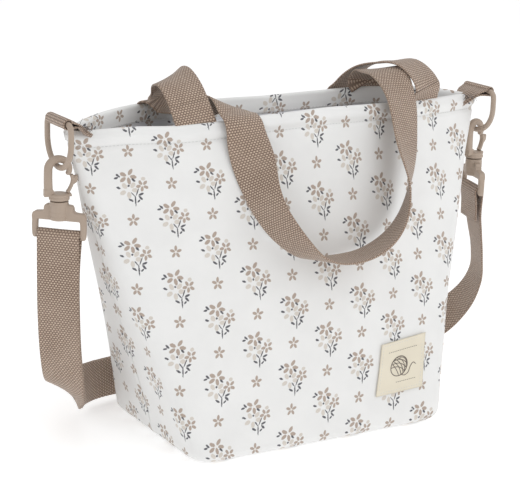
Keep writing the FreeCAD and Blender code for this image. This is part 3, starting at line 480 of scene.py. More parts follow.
def webbing_material(name):
    """Heavy flat webbing: staggered pips in close ribs with painted shade between the pips and a
    painted highlight on them, darker selvedges.
    """
    pip_width, rib_pitch = 2.2, 1.62
    sh = Shader(name)
    uv = sh.uv()
    axes = sh.separate(uv)
    jitter = sh.noise(uv, scale=700.0, detail=1.0)
    u = axes[0] * 1000.0 + (jitter - 0.5) * 0.25
    v = axes[1] * 1000.0 + (jitter - 0.5) * 0.25
    row_place = v / rib_pitch
    row = sh.math("FLOOR", row_place)
    pip_y = row_place - row - 0.5
    column_place = u / pip_width + sh.math("FLOORED_MODULO", row, 2.0) * 0.5
    column = sh.math("FLOOR", column_place)
    pip_x = column_place - column - 0.5
    pip = sh.ramp(pip_x * pip_x * 4.6 + pip_y * pip_y * 4.9, 1.0, 0.02)
    yarn = sh.wave(u, pitch=0.30)
    vary = sh.out("TexWhiteNoise", sh.combine(column, row))
    # Painted shade in the gaps between pips and painted light on the pips, laid over the same pip
    # bump
    colour = sh.mix(sh.ramp(pip, 0.0, 0.55), linear((124, 104, 90)), linear((179, 155, 136)))
    # Painted highlight on the pip tops, varied from pip to pip
    highlight = sh.ramp(pip, 0.45, 1.0) * (0.35 + vary * 0.5)
    colour = sh.mix(highlight, colour, linear((224, 203, 184)))
    selvedge = sh.ramp(sh.math("ABSOLUTE", axes[0] * 1000.0), 13.6, 14.9)
    colour = sh.mix(selvedge * 0.3, colour, linear((140, 118, 102)))
    fade = sh.ramp(sh.noise(uv, scale=28.0), 0.35, 0.75)
    colour = sh.mix(fade * 0.14, colour, linear((205, 186, 170)))
    sh.bump(pip + yarn * 0.07, strength=0.85, distance=0.00045)
    return sh.finish(Base_Color=colour, Roughness=0.58, Specular_IOR_Level=0.35,
                     Sheen_Weight=0.25, Sheen_Roughness=0.4)


def plastic_material(name, rgb, roughness):
    """Moulded matte plastic with a fine grain."""
    sh = Shader(name)
    position = sh.position()
    fine = sh.noise(position, scale=2600.0)
    broad = sh.noise(position, scale=90.0)
    colour = sh.tones(broad, rgb, darker=6, lighter=5)
    sh.bump(fine + broad * 0.6, strength=0.16, distance=0.0002)
    patches = sh.noise(position, scale=400.0)
    return sh.finish(Base_Color=colour, Specular_IOR_Level=0.42,
                     Roughness=sh.ramp(patches, 0.3, 0.7, roughness - 0.05, roughness + 0.08))


def metal_material(name, rgb):
    sh = Shader(name)
    position = sh.position()
    colour = sh.tones(sh.noise(position, scale=500.0), rgb, darker=8)
    sh.bump(sh.noise(position, scale=3000.0), strength=0.1, distance=0.0001)
    return sh.finish(Base_Color=colour, Roughness=0.38, Metallic=0.35, Specular_IOR_Level=0.5)


def thread_material(name, rgb):
    sh = Shader(name)
    twist = sh.noise(sh.position(), scale=5000.0, detail=1.0)
    sh.bump(twist, strength=0.4, distance=0.0001)
    return sh.finish(Base_Color=sh.tones(twist, rgb, darker=12), Roughness=0.6, Sheen_Weight=0.3)


PRINT = {FRONT: print_material("print_front", shear=0.11),
         REAR: print_material("print_rear", shear=0.0)}
# Inside cloth: the same print with a darker, cooler base, as painted shade for the inside of the
# mouth and the zip flaps
FACING_SHADED = print_material("print_inside_shaded", shear=0.0, base=(226, 227, 231))
WEBBING = webbing_material("webbing_taupe")
PLASTIC = plastic_material("plastic_taupe", (170, 153, 138), roughness=0.42)
METAL = metal_material("zip_metal", (158, 140, 124))
WADDING = plain_cloth("wadding_white", (228, 228, 224), pitch=0.9, roughness=0.95)
LINING = plain_cloth("lining_grey", (206, 208, 210), pitch=0.4, roughness=0.6)
BOARD = plain_cloth("board_grey", (196, 196, 192), pitch=1.4, roughness=0.6)
TAPE = plain_cloth("zip_tape", (226, 226, 224), pitch=0.5, roughness=0.8)
CHAIN = plastic_material("zip_chain_taupe", (150, 132, 118), roughness=0.35)
THREAD_WHITE = thread_material("thread_white", (214, 214, 212))
thread_material("thread_taupe", (150, 130, 114))  # kept in the file as a spare colour
THREAD_DARK = thread_material("thread_dark", (96, 84, 78))
LABEL = plain_cloth("label_cream", (231, 223, 204), pitch=0.38, roughness=0.8)

# ------------------------------------------------------------------- bag walls
HEIGHT = 226.0
BASE_WIDTH, TOP_WIDTH = 206, 340
BASE_HALF_DEPTH = 67.5
SEAM_LEAN = 5.0  # y of the seam plane at the top; it is 0 at the base
SEAM_GAP = 0.06  # least distance of any layer from the seam plane
BULGE = {FRONT: 28.0, REAR: 50.0}  # outward bow of each wall at the top
CORNER_RADIUS = 16.0
BASE_EDGE_RADIUS = 7.0
CLOTH_HALF_WIDTH, CLOTH_HEIGHT = 170.5, 232.0  # extent of the cloth coordinates u and v

# Height of the rim above HEIGHT: x, dz
RIM = {
    FRONT: np.array([(-170, -1.0), (-158, -5.0), (-145, -3.6), (-125, -2.4), (-96, -3.2),
                     (-66, -1.6), (-30, 1.4), (20, 3.4), (60, 2.4), (100, 1.0), (140, 0.6),
                     (170, 0.5)]),
    REAR: np.array([(-170, -1.0), (-150, 2.0), (-125, 4.4), (-95, 4.8), (-40, 1.0), (10, 0.0),
                    (60, 2.4), (95, 5.4), (130, 4.8), (155, 2.0), (170, 0.5)]),
}
# Soft hollows and swells: u, v, length along u, length along v, turn in degrees, rise outwards
DENTS = {
    FRONT: [
        (88, 178, 9, 46, 4, -3.0), (72, 150, 30, 40, 0, 1.2), (-60, 120, 90, 60, 0, 1.6),
        (30, 60, 70, 50, 0, 1.4), (-96, 30, 12, 40, 35, -1.3), (-70, 18, 10, 34, 48, -1.0),
        (-112, 70, 9, 40, 12, 1.0), (60, 14, 60, 9, 0, 0.8), (-20, 205, 60, 10, 0, -0.8),
        (10, 22, 60, 8, 4, -0.7), (96, 60, 10, 60, -6, 0.9), (-140, 150, 8, 60, 8, -0.8),
        (120, 190, 22, 26, 0, 1.0), (-105, 196, 26, 20, 0, 0.9), (20, 110, 40, 60, 10, 0.7),
        (-135, 60, 20, 60, 0, -2.4), (140, 60, 22, 60, 0, -2.4)],
    REAR: [
        (0, 110, 90, 70, 0, 2.0), (-70, 40, 12, 46, 30, -1.2), (76, 34, 12, 46, -28, -1.2),
        (-135, 70, 20, 60, 0, -2.4), (138, 70, 20, 60, 0, -2.4), (30, 190, 60, 16, 0, 0.8),
        (-20, 16, 70, 9, 0, 0.7)],
}
COLUMNS = 201
COLUMN_PLACES = np.linspace(-1, 1, COLUMNS)
ROW_Z = np.concatenate([np.linspace(0.0, 7.0, 7), np.linspace(10.0, 205.0, 66),
                        np.linspace(207.0, HEIGHT, 12)])
ROW_SHARES = ROW_Z / HEIGHT


def rim_lift(x, half):
    places = np.linspace(-175, 175, 141)
    lifts = np.interp(places, RIM[half][:, 0], RIM[half][:, 1])
    kernel = np.hanning(15)
    lifts = np.convolve(np.pad(lifts, 7, mode="edge"), kernel / kernel.sum(), mode="valid")
    return np.interp(x, places, lifts)


def wall_outline(t, half, inset):
    """Dense plan outline of a wall at height share t, left seam to right seam."""
    half_width = (BASE_WIDTH * (1 - t) + TOP_WIDTH * t) / 2 - inset
    side = BASE_HALF_DEPTH * (1 - t) - inset * (1 - t)
    radius = max(0.02, min(CORNER_RADIUS * (1 - 0.4 * t), side * 0.9))
    side = max(side, 0.02)

    def wall_y(x):
        return side + BULGE[half] * t * (1 - (x / half_width) ** 2)

    corner_x = -half_width + radius
    corner_y = wall_y(corner_x)
    points = [(-half_width, (side - radius) * k / 30) for k in range(30)]
    for k in range(40):
        u = k / 40.0
        points.append(((1 - u) ** 2 * -half_width + 2 * u * (1 - u) * -half_width
                       + u * u * corner_x,
                       (1 - u) ** 2 * (side - radius) + 2 * u * (1 - u) * side
                       + u * u * corner_y))
    for k in range(161):
        x = corner_x * (1 - k / 160.0)
        points.append((x, wall_y(x)))
    outline = np.array(points + [(-x, y) for x, y in reversed(points[:-1])])
    outline[:, 1] = SEAM_LEAN * t + half * outline[:, 1]
    return outline


def wall_row_points(t, half):
    z = t * HEIGHT
    inset = 0.0
    if z < BASE_EDGE_RADIUS:
        rise = BASE_EDGE_RADIUS - z
        inset = BASE_EDGE_RADIUS - math.sqrt(max(0.0, BASE_EDGE_RADIUS ** 2 - rise * rise))
    outline = wall_outline(t, half, inset)
    distance = travelled(outline)
    points = sample(distance[-1] * (COLUMN_PLACES + 1) / 2, distance, outline)
    return np.c_[points, z + rim_lift(points[:, 0], half) * smoothstep(0.55, 1.0, t)]


def grid_normals(grid, half):
    normals = np.cross(np.gradient(grid, axis=1), np.gradient(grid, axis=0))
    normals /= np.maximum(np.linalg.norm(normals, axis=2, keepdims=True), 1e-9)
    return normals * -half


def dent_field(u, v, half):
    field = np.zeros_like(u)
    for u0, v0, length_u, length_v, degrees, rise in DENTS[half]:
        turn = math.radians(degrees)
        x = (u - u0) * math.cos(turn) + (v - v0) * math.sin(turn)
        y = -(u - u0) * math.sin(turn) + (v - v0) * math.cos(turn)
        field += rise * np.exp(-0.5 * ((x / length_u) ** 2 + (y / length_v) ** 2))
    # Shallow unevenness of padded cloth
    field += 0.25 * np.sin(u / 23.0 + 1.3 * half) * np.sin(v / 31.0)
    return field + 0.18 * np.sin(u / 11.0 + v / 17.0)


def wall_surface(half):
    """Outer grid of a wall, its outward normals and its cloth coordinates."""
    grid = np.array([wall_row_points(t, half) for t in ROW_SHARES])
    normals = grid_normals(grid, half)
    u, v = np.meshgrid(COLUMN_PLACES * CLOTH_HALF_WIDTH, ROW_SHARES * CLOTH_HEIGHT)
    fade = (smoothstep(0, 14, v) * (1 - 0.75 * smoothstep(200, 226, v))
            * (1 - smoothstep(150, 169, np.abs(u)) * smoothstep(60, 200, v)))
    # Shallow gutter where front and rear are joined
    gutter = np.exp(-((CLOTH_HALF_WIDTH - np.abs(u)) / 2.2) ** 2) * 0.9 * smoothstep(6, 20, v)
    grid = grid + normals * (dent_field(u, v, half) * fade - gutter)[..., None]
    return grid, grid_normals(grid, half), u, v


SURFACE = {half: wall_surface(half) for half, _ in WALLS}


def wall_row(z, half, depth):
    """Points of the grid row nearest z, sunk by depth, and the row's normals."""
    grid, normals = SURFACE[half][:2]
    i = int(np.argmin(np.abs(ROW_Z - z)))
    return grid[i] - normals[i] * depth, normals[i]


def clamp_to_side(points, half, t):
    """Keeps a layer on its own side of the seam plane."""
    limit = SEAM_LEAN * t + half * SEAM_GAP
    points = points.copy()
    keep = np.minimum if half == FRONT else np.maximum
    points[..., 1] = keep(points[..., 1], limit)
    return points


# Turned allowance inside the hem: drop from the rim, distance in from the roll's centre
ALLOWANCE = ((1.0, 2.55), (3.0, 2.75), (5.5, 2.7), (7.6, 2.3), (9.0, 2.1), (10.6, 2.0))


def hem_rows(top, normals, u, v, half):
    """Rolled top edge and the allowance turned down inside it."""
    radius = 2.7
    out = normals * np.array([1, 1, 0.0])
    out = out / np.linalg.norm(out, axis=1, keepdims=True)
    centre = top - out * radius
    # The roll is flattened towards the side seams
    full = 1.0 - smoothstep(150, 168, np.abs(top[:, 0]))[:, None] * 0.75
    upright = 0.35 + 0.65 * full
    rows, uvs = [], []
    for k in range(1, 9):
        angle = math.pi * k / 9.0
        row = (centre + out * (radius * math.cos(angle)) * full + out * radius * (1 - full) * 0.4
               + np.array([0, 0, radius * 0.95 * math.sin(angle)]) * upright)
        rows.append(clamp_to_side(row, half, 1.0))
        uvs.append(np.c_[u, v + k * 0.95])
    for drop, inward in ALLOWANCE:
        row = (centre - out * inward * full + out * radius * (1 - full) * 0.3
               + np.array([0, 0, -drop]) * upright)
        rows.append(clamp_to_side(row, half, 1.0))
        uvs.append(np.c_[u, v + 8.5 + drop])
    return rows, uvs


def floor_rows(edge, u, v, half, steps=16):
    """Rows from the seam plane out to the wall's lower edge."""
    rows, uvs = [], []
    for k in range(steps):
        share = k / float(steps)
        row = edge.copy()
        row[:, 1] *= share
        row[:, 1] = np.where(half * row[:, 1] < SEAM_GAP, half * SEAM_GAP, row[:, 1])
        rows.append(row)
        uvs.append(np.c_[u, v - edge[:, 1] * half * (1 - share)])
    return rows, uvs


def wall_layer(name, half, depth, z_range, thickness, hem=False, floor=False):
    """One cloth layer of a wall, sunk by depth from the outer surface."""
    low, high = (z / HEIGHT for z in z_range)
    picked = (ROW_SHARES >= low - 1e-9) & (ROW_SHARES <= high + 1e-9)
    grid, normals, u, v = (table[picked] for table in SURFACE[half])
    shares = ROW_SHARES[picked]
    points = clamp_to_side(grid - normals * depth, half, shares[:, None])
    if hem:
        # Stitch groove 8 mm below the rim and a puffed edge above it
        below = (HEIGHT - shares * HEIGHT)[:, None, None]
        groove = -1.25 * np.exp(-((below - 8.0) / 1.1) ** 2)
        puff = 1.3 * smoothstep(8.0, 4.5, below) * smoothstep(-0.5, 2.5, below)
        points = points + normals * (groove + puff)
    rows, uvs = list(points), list(np.dstack([u, v]))
    if hem:
        more_rows, more_uvs = hem_rows(rows[-1], normals[-1], u[-1], v[-1], half)
        rows, uvs = rows + more_rows, uvs + more_uvs
    if floor:
        more_rows, more_uvs = floor_rows(rows[0], u[0], v[0], half)
        rows, uvs = more_rows + rows, more_uvs + uvs
    ob = new_mesh(name, np.concatenate(rows), grid_faces(len(rows), COLUMNS, flip=half == REAR),
                  np.concatenate(uvs))
    thicken(ob, thickness, offset=-1.0)
    smooth_faces(ob.data)
    return ob


for half, side in WALLS:
    ob = wall_layer("bag_%s_cloth" % side, half, depth=0.0, z_range=(0.0, HEIGHT),
                    thickness=1.0, hem=True, floor=True)
    enrol(ob, PRINT[half], "outer_%s_panel" % side, slot="print_cloth")
    ob = wall_layer("bag_%s_wadding" % side, half, depth=1.3, z_range=(3.0, 196.0), thickness=2.6)
    enrol(ob, WADDING, "%s_padding" % side, slot="wadding")
    ob = wall_layer("bag_%s_lining" % side, half, depth=4.4, z_range=(7.0, 181.0),
                    thickness=0.7, floor=True)
    enrol(ob, LINING, "%s_lining" % side, slot="lining_cloth")
    ob = wall_layer("bag_%s_facing" % side, half, depth=4.4, z_range=(183.0, 224.5), thickness=0.8)
    enrol(ob, FACING_SHADED, "%s_facing" % side, slot="print_cloth")

paint(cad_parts["base_padding"], WADDING)
paint(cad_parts["base_board"], BOARD)


# -------------------------------------------------------------------- stitches
def stitch_run(name, points, normals, material=THREAD_WHITE, pitch=2.6, length=1.9, radius=0.22):
    """Short thread dashes laid along a polyline on a surface."""
    points, normals = np.asarray(points, float), np.asarray(normals, float)
    distance = travelled(points)
    shares = np.linspace(0, 1, 5)
    arches = [math.sin(math.pi * share) for share in shares]
    stitches = []
    start = pitch * 0.5
    while start + length < distance[-1]:
        places = start + length * shares
        ups = [unit(row) for row in sample(places, distance, normals)]
        centres = [centre + up * radius * (0.9 * arch - 0.35)
                   for centre, up, arch in zip(sample(places, distance, points), ups, arches)]
        ahead = unit(centres[-1] - centres[0])
        rings = []
        for centre, up, arch in zip(centres, ups, arches):
            thick = radius * (0.45 + 0.55 * arch ** 0.5)
            rings.append(ring(centre, up, unit(np.cross(ahead, up)), thick, thick, 6))
        stitches.append(tube(rings))
        start += pitch
    enrol(solid_mesh(name, *join(stitches)), material)


for half, side in WALLS:
    # Name, depth below the outer surface, columns left free at each end, side of the wall
    for name, depth, margin, facing in (("hem", 0.75, 4, 1), ("facing", 6.1, 12, -1)):
        points, normals = wall_row(218.0, half, depth)
        stitch_run("%s_stitch_%s" % (name, side), points[margin:-margin],
                   facing * normals[margin:-margin])


# --------------------------------------------------------------------- webbing
# A band is a table of stations, each a centre x, y, z and a direction x, y, z across it.
def station(centre, across):
    return np.concatenate([centre, across]).astype(float)


def unit_across(band):
    band[:, 3:] /= np.linalg.norm(band[:, 3:], axis=1, keepdims=True)
    return band


def even_band(stations, steps, spacing):
    """Curve through the stations, respaced evenly."""
    band = unit_across(spline(stations, steps))
    distance = travelled(band[:, :3])
    count = max(2, int(round(distance[-1] / spacing)) + 1)
    return unit_across(sample(np.linspace(0, distance[-1], count), distance, band))


def soften_band(band, times):
    for _ in range(times):
        band = soften(band)
    return unit_across(band)


def band_length(band):
    return travelled(band[:, :3])[-1]


def band_mesh(name, band, thickness=1.5, start=0.0, cup=0.0):
    """30 mm webbing with rounded selvedges; V starts at start and runs along the band."""
    half_width = 15.0
    profile = []
    for u in (-1, -0.965, -0.9, -0.66, -0.33, 0.0, 0.33, 0.66, 0.9, 0.965, 1):
        edge = min(1.0, (1 - abs(u)) * half_width / 0.9)
        y = thickness / 2 * math.sqrt(max(0.0, 1 - (1 - edge) ** 2))
        profile.append((u * half_width, max(y, 0.12)))
    section = profile + [(x, -y) for x, y in reversed(profile)]
    centres = band[:, :3]
    rings, uvs = [], []
    for i, run in enumerate(travelled(centres)):
        ahead = tangent(centres, i)
        normal = unit(np.cross(ahead, band[i, 3:]))
        across = unit(np.cross(normal, ahead))
        rings.append([centres[i] + across * x + normal * (y + cup * (1 - (x / half_width) ** 2))
                      for x, y in section])
        uvs += [(x, start + run) for x, _ in section]
    return solid_mesh(name, *tube(rings), uvs)


def wall_point(x, z, half):
    """Point inside the wall's thickness and the wall's direction there, towards +X."""
    row = wall_row(z, half, depth=2.9)[0]
    j = int(np.argmin(np.abs(row[:, 0] - x)))
    share = (x - row[j, 0]) / (row[j + 1, 0] - row[j, 0] + 1e-9)
    along = unit(row[min(COLUMNS - 1, j + 4)] - row[max(0, j - 4)])
    return row[j] + (row[j + 1] - row[j]) * share, unit((along[0], along[1], 0.0))


def foot_stations(x, half, turn, offsets, top=None):
    """Handle end inside the wall, from its tip up, then stations offset from the exit.

    turn is the sign of the across direction; top is the exit's z, by default the row's own.
    """
    low, along = wall_point(x, 205, half)
    high = wall_point(x, 223, half)[0]
    leave = high if top is None else np.array([high[0], high[1], top])
    centres = [low, high] + [leave + np.array(offset) for offset in offsets]
    return [station(centre, turn * along) for centre in centres]


def rest_on_rim(band, half, margin):
    """Lifts a band off a wall's turned hem, leaving margin stations at each end."""
    clearance = 4.9
    lean = 0.24 if half == FRONT else 0.1
    rim = SURFACE[half][0][-1]
    band = band.copy()
    for _ in range(6):
        push = np.zeros((len(band), 3))
        for i in range(margin, len(band) - margin):
            best = 0.0
            for offset in (-15, -10, -5, 0, 5, 10, 15):
                x, y, z = band[i, :3] + band[i, 3:] * offset
                top = HEIGHT + rim_lift(x, half)
                core_z = min(top, max(top - 10.0, z))
                core_y = np.interp(x, rim[:, 0], rim[:, 1]) - half * 2.6
                core_y += half * (top - core_z) * lean + half * 0.5
                away = np.array([0.0, y - core_y, z - core_z])
                distance = np.hypot(away[1], away[2])
                if 1e-6 < distance < clearance and clearance - distance > best:
                    best = clearance - distance
                    push[i] = away / distance * best
        centres = band[:, :3] + push
        centres[margin:-margin] = soften(centres)[margin:-margin]
        band[:, :3] = centres
    return band


# Front handle: up from the front rim, back over the mouth and hanging behind the bag,
# where the band turns on edge at the bottom
FRONT_BAND = [
    (-82.8, -1.8, 243.9, 0.99, -0.04, 0.12), (-83.3, 9.8, 251.9, 0.98, -0.07, 0.18),
    (-82.1, 23.2, 253.0, 0.90, -0.08, 0.42), (-78.4, 35.3, 247.6, 0.80, 0.03, 0.60),
    (-74.5, 47.6, 241.9, 0.81, 0.02, 0.58), (-68.6, 56.9, 233.2, 0.81, 0.03, 0.58),
    (-60.9, 60.9, 222.3, 0.79, 0.13, 0.60), (-52.5, 62.1, 211.1, 0.76, 0.25, 0.60),
    (-44.3, 63.6, 199.9, 0.72, 0.38, 0.58), (-36.7, 66.5, 188.6, 0.66, 0.49, 0.57),
    (-29.5, 70.2, 177.2, 0.58, 0.60, 0.55), (-22.1, 73.5, 165.8, 0.49, 0.70, 0.52),
    (-13.7, 75.8, 154.9, 0.40, 0.78, 0.47), (-4.4, 77.3, 144.6, 0.31, 0.86, 0.40),
    (5.5, 78.3, 134.9, 0.22, 0.92, 0.32), (15.9, 79.0, 125.5, 0.13, 0.97, 0.22),
    (27.3, 79.3, 117.5, 0.07, 0.99, 0.14), (40.8, 78.9, 113.9, 0.06, 0.99, 0.11),
    (53.9, 77.6, 118.2, 0.03, 0.98, 0.18), (62.4, 75.3, 128.9, -0.10, 0.96, 0.27),
    (66.3, 72.0, 141.7, -0.28, 0.91, 0.31), (68.3, 68.1, 154.7, -0.48, 0.82, 0.32),
    (69.6, 63.8, 167.7, -0.66, 0.69, 0.29), (70.9, 59.6, 180.8, -0.81, 0.53, 0.26),
    (73.1, 56.6, 194.0, -0.91, 0.34, 0.23), (75.8, 55.1, 207.4, -0.97, 0.13, 0.21),
    (78.6, 53.2, 220.8, -0.98, -0.09, 0.19), (81.5, 49.0, 233.5, -0.95, -0.29, 0.11),
    (85.0, 42.0, 245.0, -0.91, -0.42, 0.02), (90.2, 31.1, 251.6, -0.91, -0.42, 0.03),
    (96.2, 18.6, 254.0, -0.91, -0.42, 0.07), (102.1, 6.1, 256.5, -0.91, -0.43, 0.01),
    (107.6, -5.4, 251.2, -0.91, -0.41, -0.03), (111.7, -13.4, 240.4, -0.93, -0.36, -0.07),
]
# Rear handle: legs come forward over the mouth, the loop hangs before the front wall
REAR_BAND = [
    (-78.0, 30.0, 229.2, 0.84, 0.55, -0.03), (-69.9, 18.4, 225.1, 0.76, 0.58, -0.28),
    (-60.3, 10.4, 232.8, 0.78, 0.39, -0.49), (-53.2, -0.3, 236.5, 0.85, 0.32, -0.42),
    (-50.5, -13.9, 231.6, 0.97, 0.22, -0.09), (-48.9, -24.1, 221.2, 1.00, 0.03, 0.09),
    (-47.5, -30.6, 208.0, 0.93, -0.28, 0.23), (-46.6, -37.5, 195.3, 0.70, -0.60, 0.38),
    (-45.8, -44.8, 182.5, 0.43, -0.77, 0.47), (-41.8, -50.8, 169.1, 0.30, -0.84, 0.46),
    (-33.9, -54.9, 156.5, 0.24, -0.87, 0.43), (-23.9, -57.8, 145.2, 0.15, -0.92, 0.36),
    (-12.3, -59.8, 135.7, 0.04, -0.97, 0.24), (2.5, -60.2, 132.2, 0.00, -1.00, 0.08),
    (17.9, -60.1, 131.9, 0.00, -1.00, 0.06), (33.1, -60.0, 134.1, -0.01, -0.99, 0.12),
    (47.1, -59.3, 140.2, -0.06, -0.98, 0.20), (58.8, -57.9, 149.9, -0.17, -0.94, 0.31),
    (66.9, -55.1, 162.3, -0.33, -0.86, 0.39), (72.1, -50.9, 175.9, -0.50, -0.76, 0.42),
    (74.9, -45.5, 189.5, -0.72, -0.58, 0.38), (76.9, -39.2, 203.0, -0.87, -0.39, 0.31),
    (78.8, -33.0, 216.8, -0.92, -0.28, 0.26), (80.6, -26.5, 230.6, -0.96, -0.17, 0.21),
    (81.5, -17.0, 242.3, -0.99, -0.04, 0.10), (82.0, -4.9, 251.1, -0.99, 0.11, -0.10),
    (84.5, 9.2, 250.7, -0.97, 0.19, -0.13), (88.0, 23.2, 246.6, -0.96, 0.25, 0.11),
    (90.5, 36.0, 238.8, -0.98, 0.19, 0.06),
    (92.2, 47.4, 228.9, -1.00, 0.08, -0.06),
]
REAR_BAND = REAR_BAND[:-1]  # the right foot's own stations take over before the rim
HANDLE_CUP = 0.25


def front_handle():
    left = foot_stations(-80.5, FRONT, 1, [(-0.2, 0.9, 6.5)])
    right = foot_stations(112.4, FRONT, -1, [(0.0, 0.9, 6.5)])
    band = soften_band(even_band(left + FRONT_BAND + right[::-1], 14, 1.6), 6)
    band = rest_on_rim(band, REAR, margin=40)
    # The two feet end where the band rises past this height
    high = band[:, 2] > 239.0
    first = int(np.flatnonzero(high)[0])
    last = int(np.flatnonzero(high & (band[:, 1] < 6.0))[-1])
    foot_blend = ("bag", "front_riser", (0, 0, 0.2265), (0, 0, 0.238))
    loop_blend = ("front_riser", "front_loop", (0, -0.003, 0.250), (0, 0.016, 0.2585))
    run = 0.0
    for name, piece, replaced, (lower, upper, start, end) in (
            ("foot_left", band[:first + 1], ["front_handle_left_end"], foot_blend),
            ("strap", band[first:last + 1], ["front_handle_risers", "front_handle_loop"],
             loop_blend),
            ("foot_right", band[last:], ["front_handle_right_end"], foot_blend)):
        ob = band_mesh("front_handle_" + name, piece, start=run, cup=HANDLE_CUP)
        enrol(ob, WEBBING, *replaced, rides=None, slot="webbing")
        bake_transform(ob)
        run += band_length(piece)


def rear_handle():
    left_x, right_x = -88.0, 92.7
    left = foot_stations(left_x, REAR, 1, [(0.1, 0.6, 0.6), (0.8, -0.8, 4.0), (2.6, -4.6, 5.0)],
                         top=HEIGHT + rim_lift(left_x, REAR))
    left[-1][3:] = unit(left[-1][3:] + np.array([0, 0.15, 0]))
    right = foot_stations(right_x, REAR, -1,
                          [(0.0, 0.6, 0.6), (0.0, -0.8, 4.2), (-0.4, -4.6, 5.2)],
                          top=HEIGHT + rim_lift(right_x, REAR))
    band = soften_band(even_band(left + REAR_BAND + right[::-1], 12, 1.6), 6)
    band = rest_on_rim(band, FRONT, margin=30)
    band = rest_on_rim(band, REAR, margin=24)
    ob = band_mesh("rear_handle_strap", band, cup=HANDLE_CUP)
    enrol(ob, WEBBING, "rear_handle_legs", "rear_handle_loop", rides=None, slot="webbing")
    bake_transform(ob)


front_handle()
rear_handle()

# -------------------------------------------------------------- shoulder strap
RING_X, RING_Y = 173.0, SEAM_LEAN  # rings and hooks hang at the side seams
COLLAR_Z, BARREL_Z, FRAME_Z = 181.0, 177.6, 169.6
BAR_Z = FRAME_Z - 14.6  # bottom bar of the swivel frame, which the strap turns round
BAR_WRAP = 3.15  # radius of that turn
HOOK_YAW = 15.0  # degrees, mirrored left to right
FRAME_YAW = {-1: -45.0, 1: 75.0}
LAYER_PITCH = 2.4
STRAP_Y, LEFT_RUN_Y, STRAP_Z = 78.8, 80.0, 19.3  # the low run behind the bag
ADJUSTER_X = 2.0


def bar_axes(side):
    """Direction along a frame's bar and the level direction square to it."""
    yaw = math.radians(FRAME_YAW[side])
    along = np.array([math.cos(yaw), math.sin(yaw), 0.0])
    return along, np.array([along[1], -along[0], 0.0])


def by_bar(side, normal, offset, z):
    return np.array([side * RING_X, RING_Y, z]) + normal * offset


def round_bar(side, normal, across):
    result = []
    for k in range(7):
        angle = math.pi * k / 6.0
        result.append(station(by_bar(side, normal, -BAR_WRAP * math.cos(angle),
                                     BAR_Z + BAR_WRAP * math.sin(angle)), across))
    return result


LEFT_BAR, LEFT_NORMAL = bar_axes(-1)
RIGHT_BAR, RIGHT_NORMAL = bar_axes(1)
# Right leg: up inside the frame, round the bar and down to the run behind the bag
RIGHT_LEG = [station(by_bar(1, RIGHT_NORMAL, -offset, BAR_Z - drop), RIGHT_BAR)
             for offset, drop in ((1.45, 24), (1.5, 17), (1.9, 9), (2.9, 3.5))]
RIGHT_LEG += round_bar(1, RIGHT_NORMAL, RIGHT_BAR)
RIGHT_LEG += [
    station(by_bar(1, RIGHT_NORMAL, 2.9, BAR_Z - 4.0), RIGHT_BAR),
    station(by_bar(1, RIGHT_NORMAL, 1.5, BAR_Z - 20) + X_AXIS, RIGHT_BAR),
    (178.5, 5.6, 121.0, 0.30, 0.95, 0.0), (183.0, 7.0, 102.0, 0.36, 0.93, 0.02),
    (186.3, 11.0, 81.0, 0.34, 0.93, 0.10), (183.5, 22.0, 59.0, 0.25, 0.90, 0.36),
    (173.0, 41.0, 37.0, 0.14, 0.70, 0.70), (152.0, 62.0, 23.0, 0.06, 0.35, 0.93),
    (126.0, 76.0, STRAP_Z + 0.6, 0.0, 0.08, 1.0),
    *((x, STRAP_Y, STRAP_Z, 0, 0, 1) for x in (104.0, 90.0, 40.0, 0.0)),
]
# Left leg, midway between its two layers, from the run behind the bag up to the frame
LEFT_LEG = np.array([
    (-80.0, LEFT_RUN_Y, STRAP_Z, 0, 0, 1), (-97.0, LEFT_RUN_Y - 0.7, STRAP_Z, 0, 0, 1),
    (-114.0, 75.0, STRAP_Z + 0.3, 0, 0, 1), (-131.0, 62.5, 22.0, -0.10, 0.10, 0.99),
    (-145.0, 46.5, 26.0, -0.34, 0.34, 0.88), (-154.5, 33.0, 32.0, -0.62, 0.62, 0.48),
    (-161.0, 23.5, 40.0, -0.69, 0.69, 0.22), (-165.5, 17.0, 53.0, -0.7, 0.7, 0.05),
    (-169.5, 12.0, 73.0, -0.7, 0.7, 0.03), (-172.5, 7.6, 101.0, *-LEFT_BAR),
    (-173.6, 5.4, 128.0, *-LEFT_BAR),
])


def left_layer(share):
    """One layer of the left leg; share is its place in layer pitches from the middle."""
    result = []
    for i, row in enumerate(LEFT_LEG):
        across = unit(row[3:])
        normal = unit(np.cross(tangent(LEFT_LEG[:, :3], i), across))
        result.append(station(row[:3] + normal * share * (LAYER_PITCH - 0.4), across))
    return result


def round_fold(band, passes=10):
    """Rounds the strap's turn at the lower left, leaving the rest alone."""
    mask = (smoothstep(-100, -116, band[:, 0]) * smoothstep(100, 78, band[:, 2]))[:, None]
    mask[0] = mask[-1] = 0
    mask[-6:] *= np.linspace(1, 0, 6)[:, None]
    for _ in range(passes):
        band = band * (1 - mask) + soften(band) * mask
    return unit_across(band)


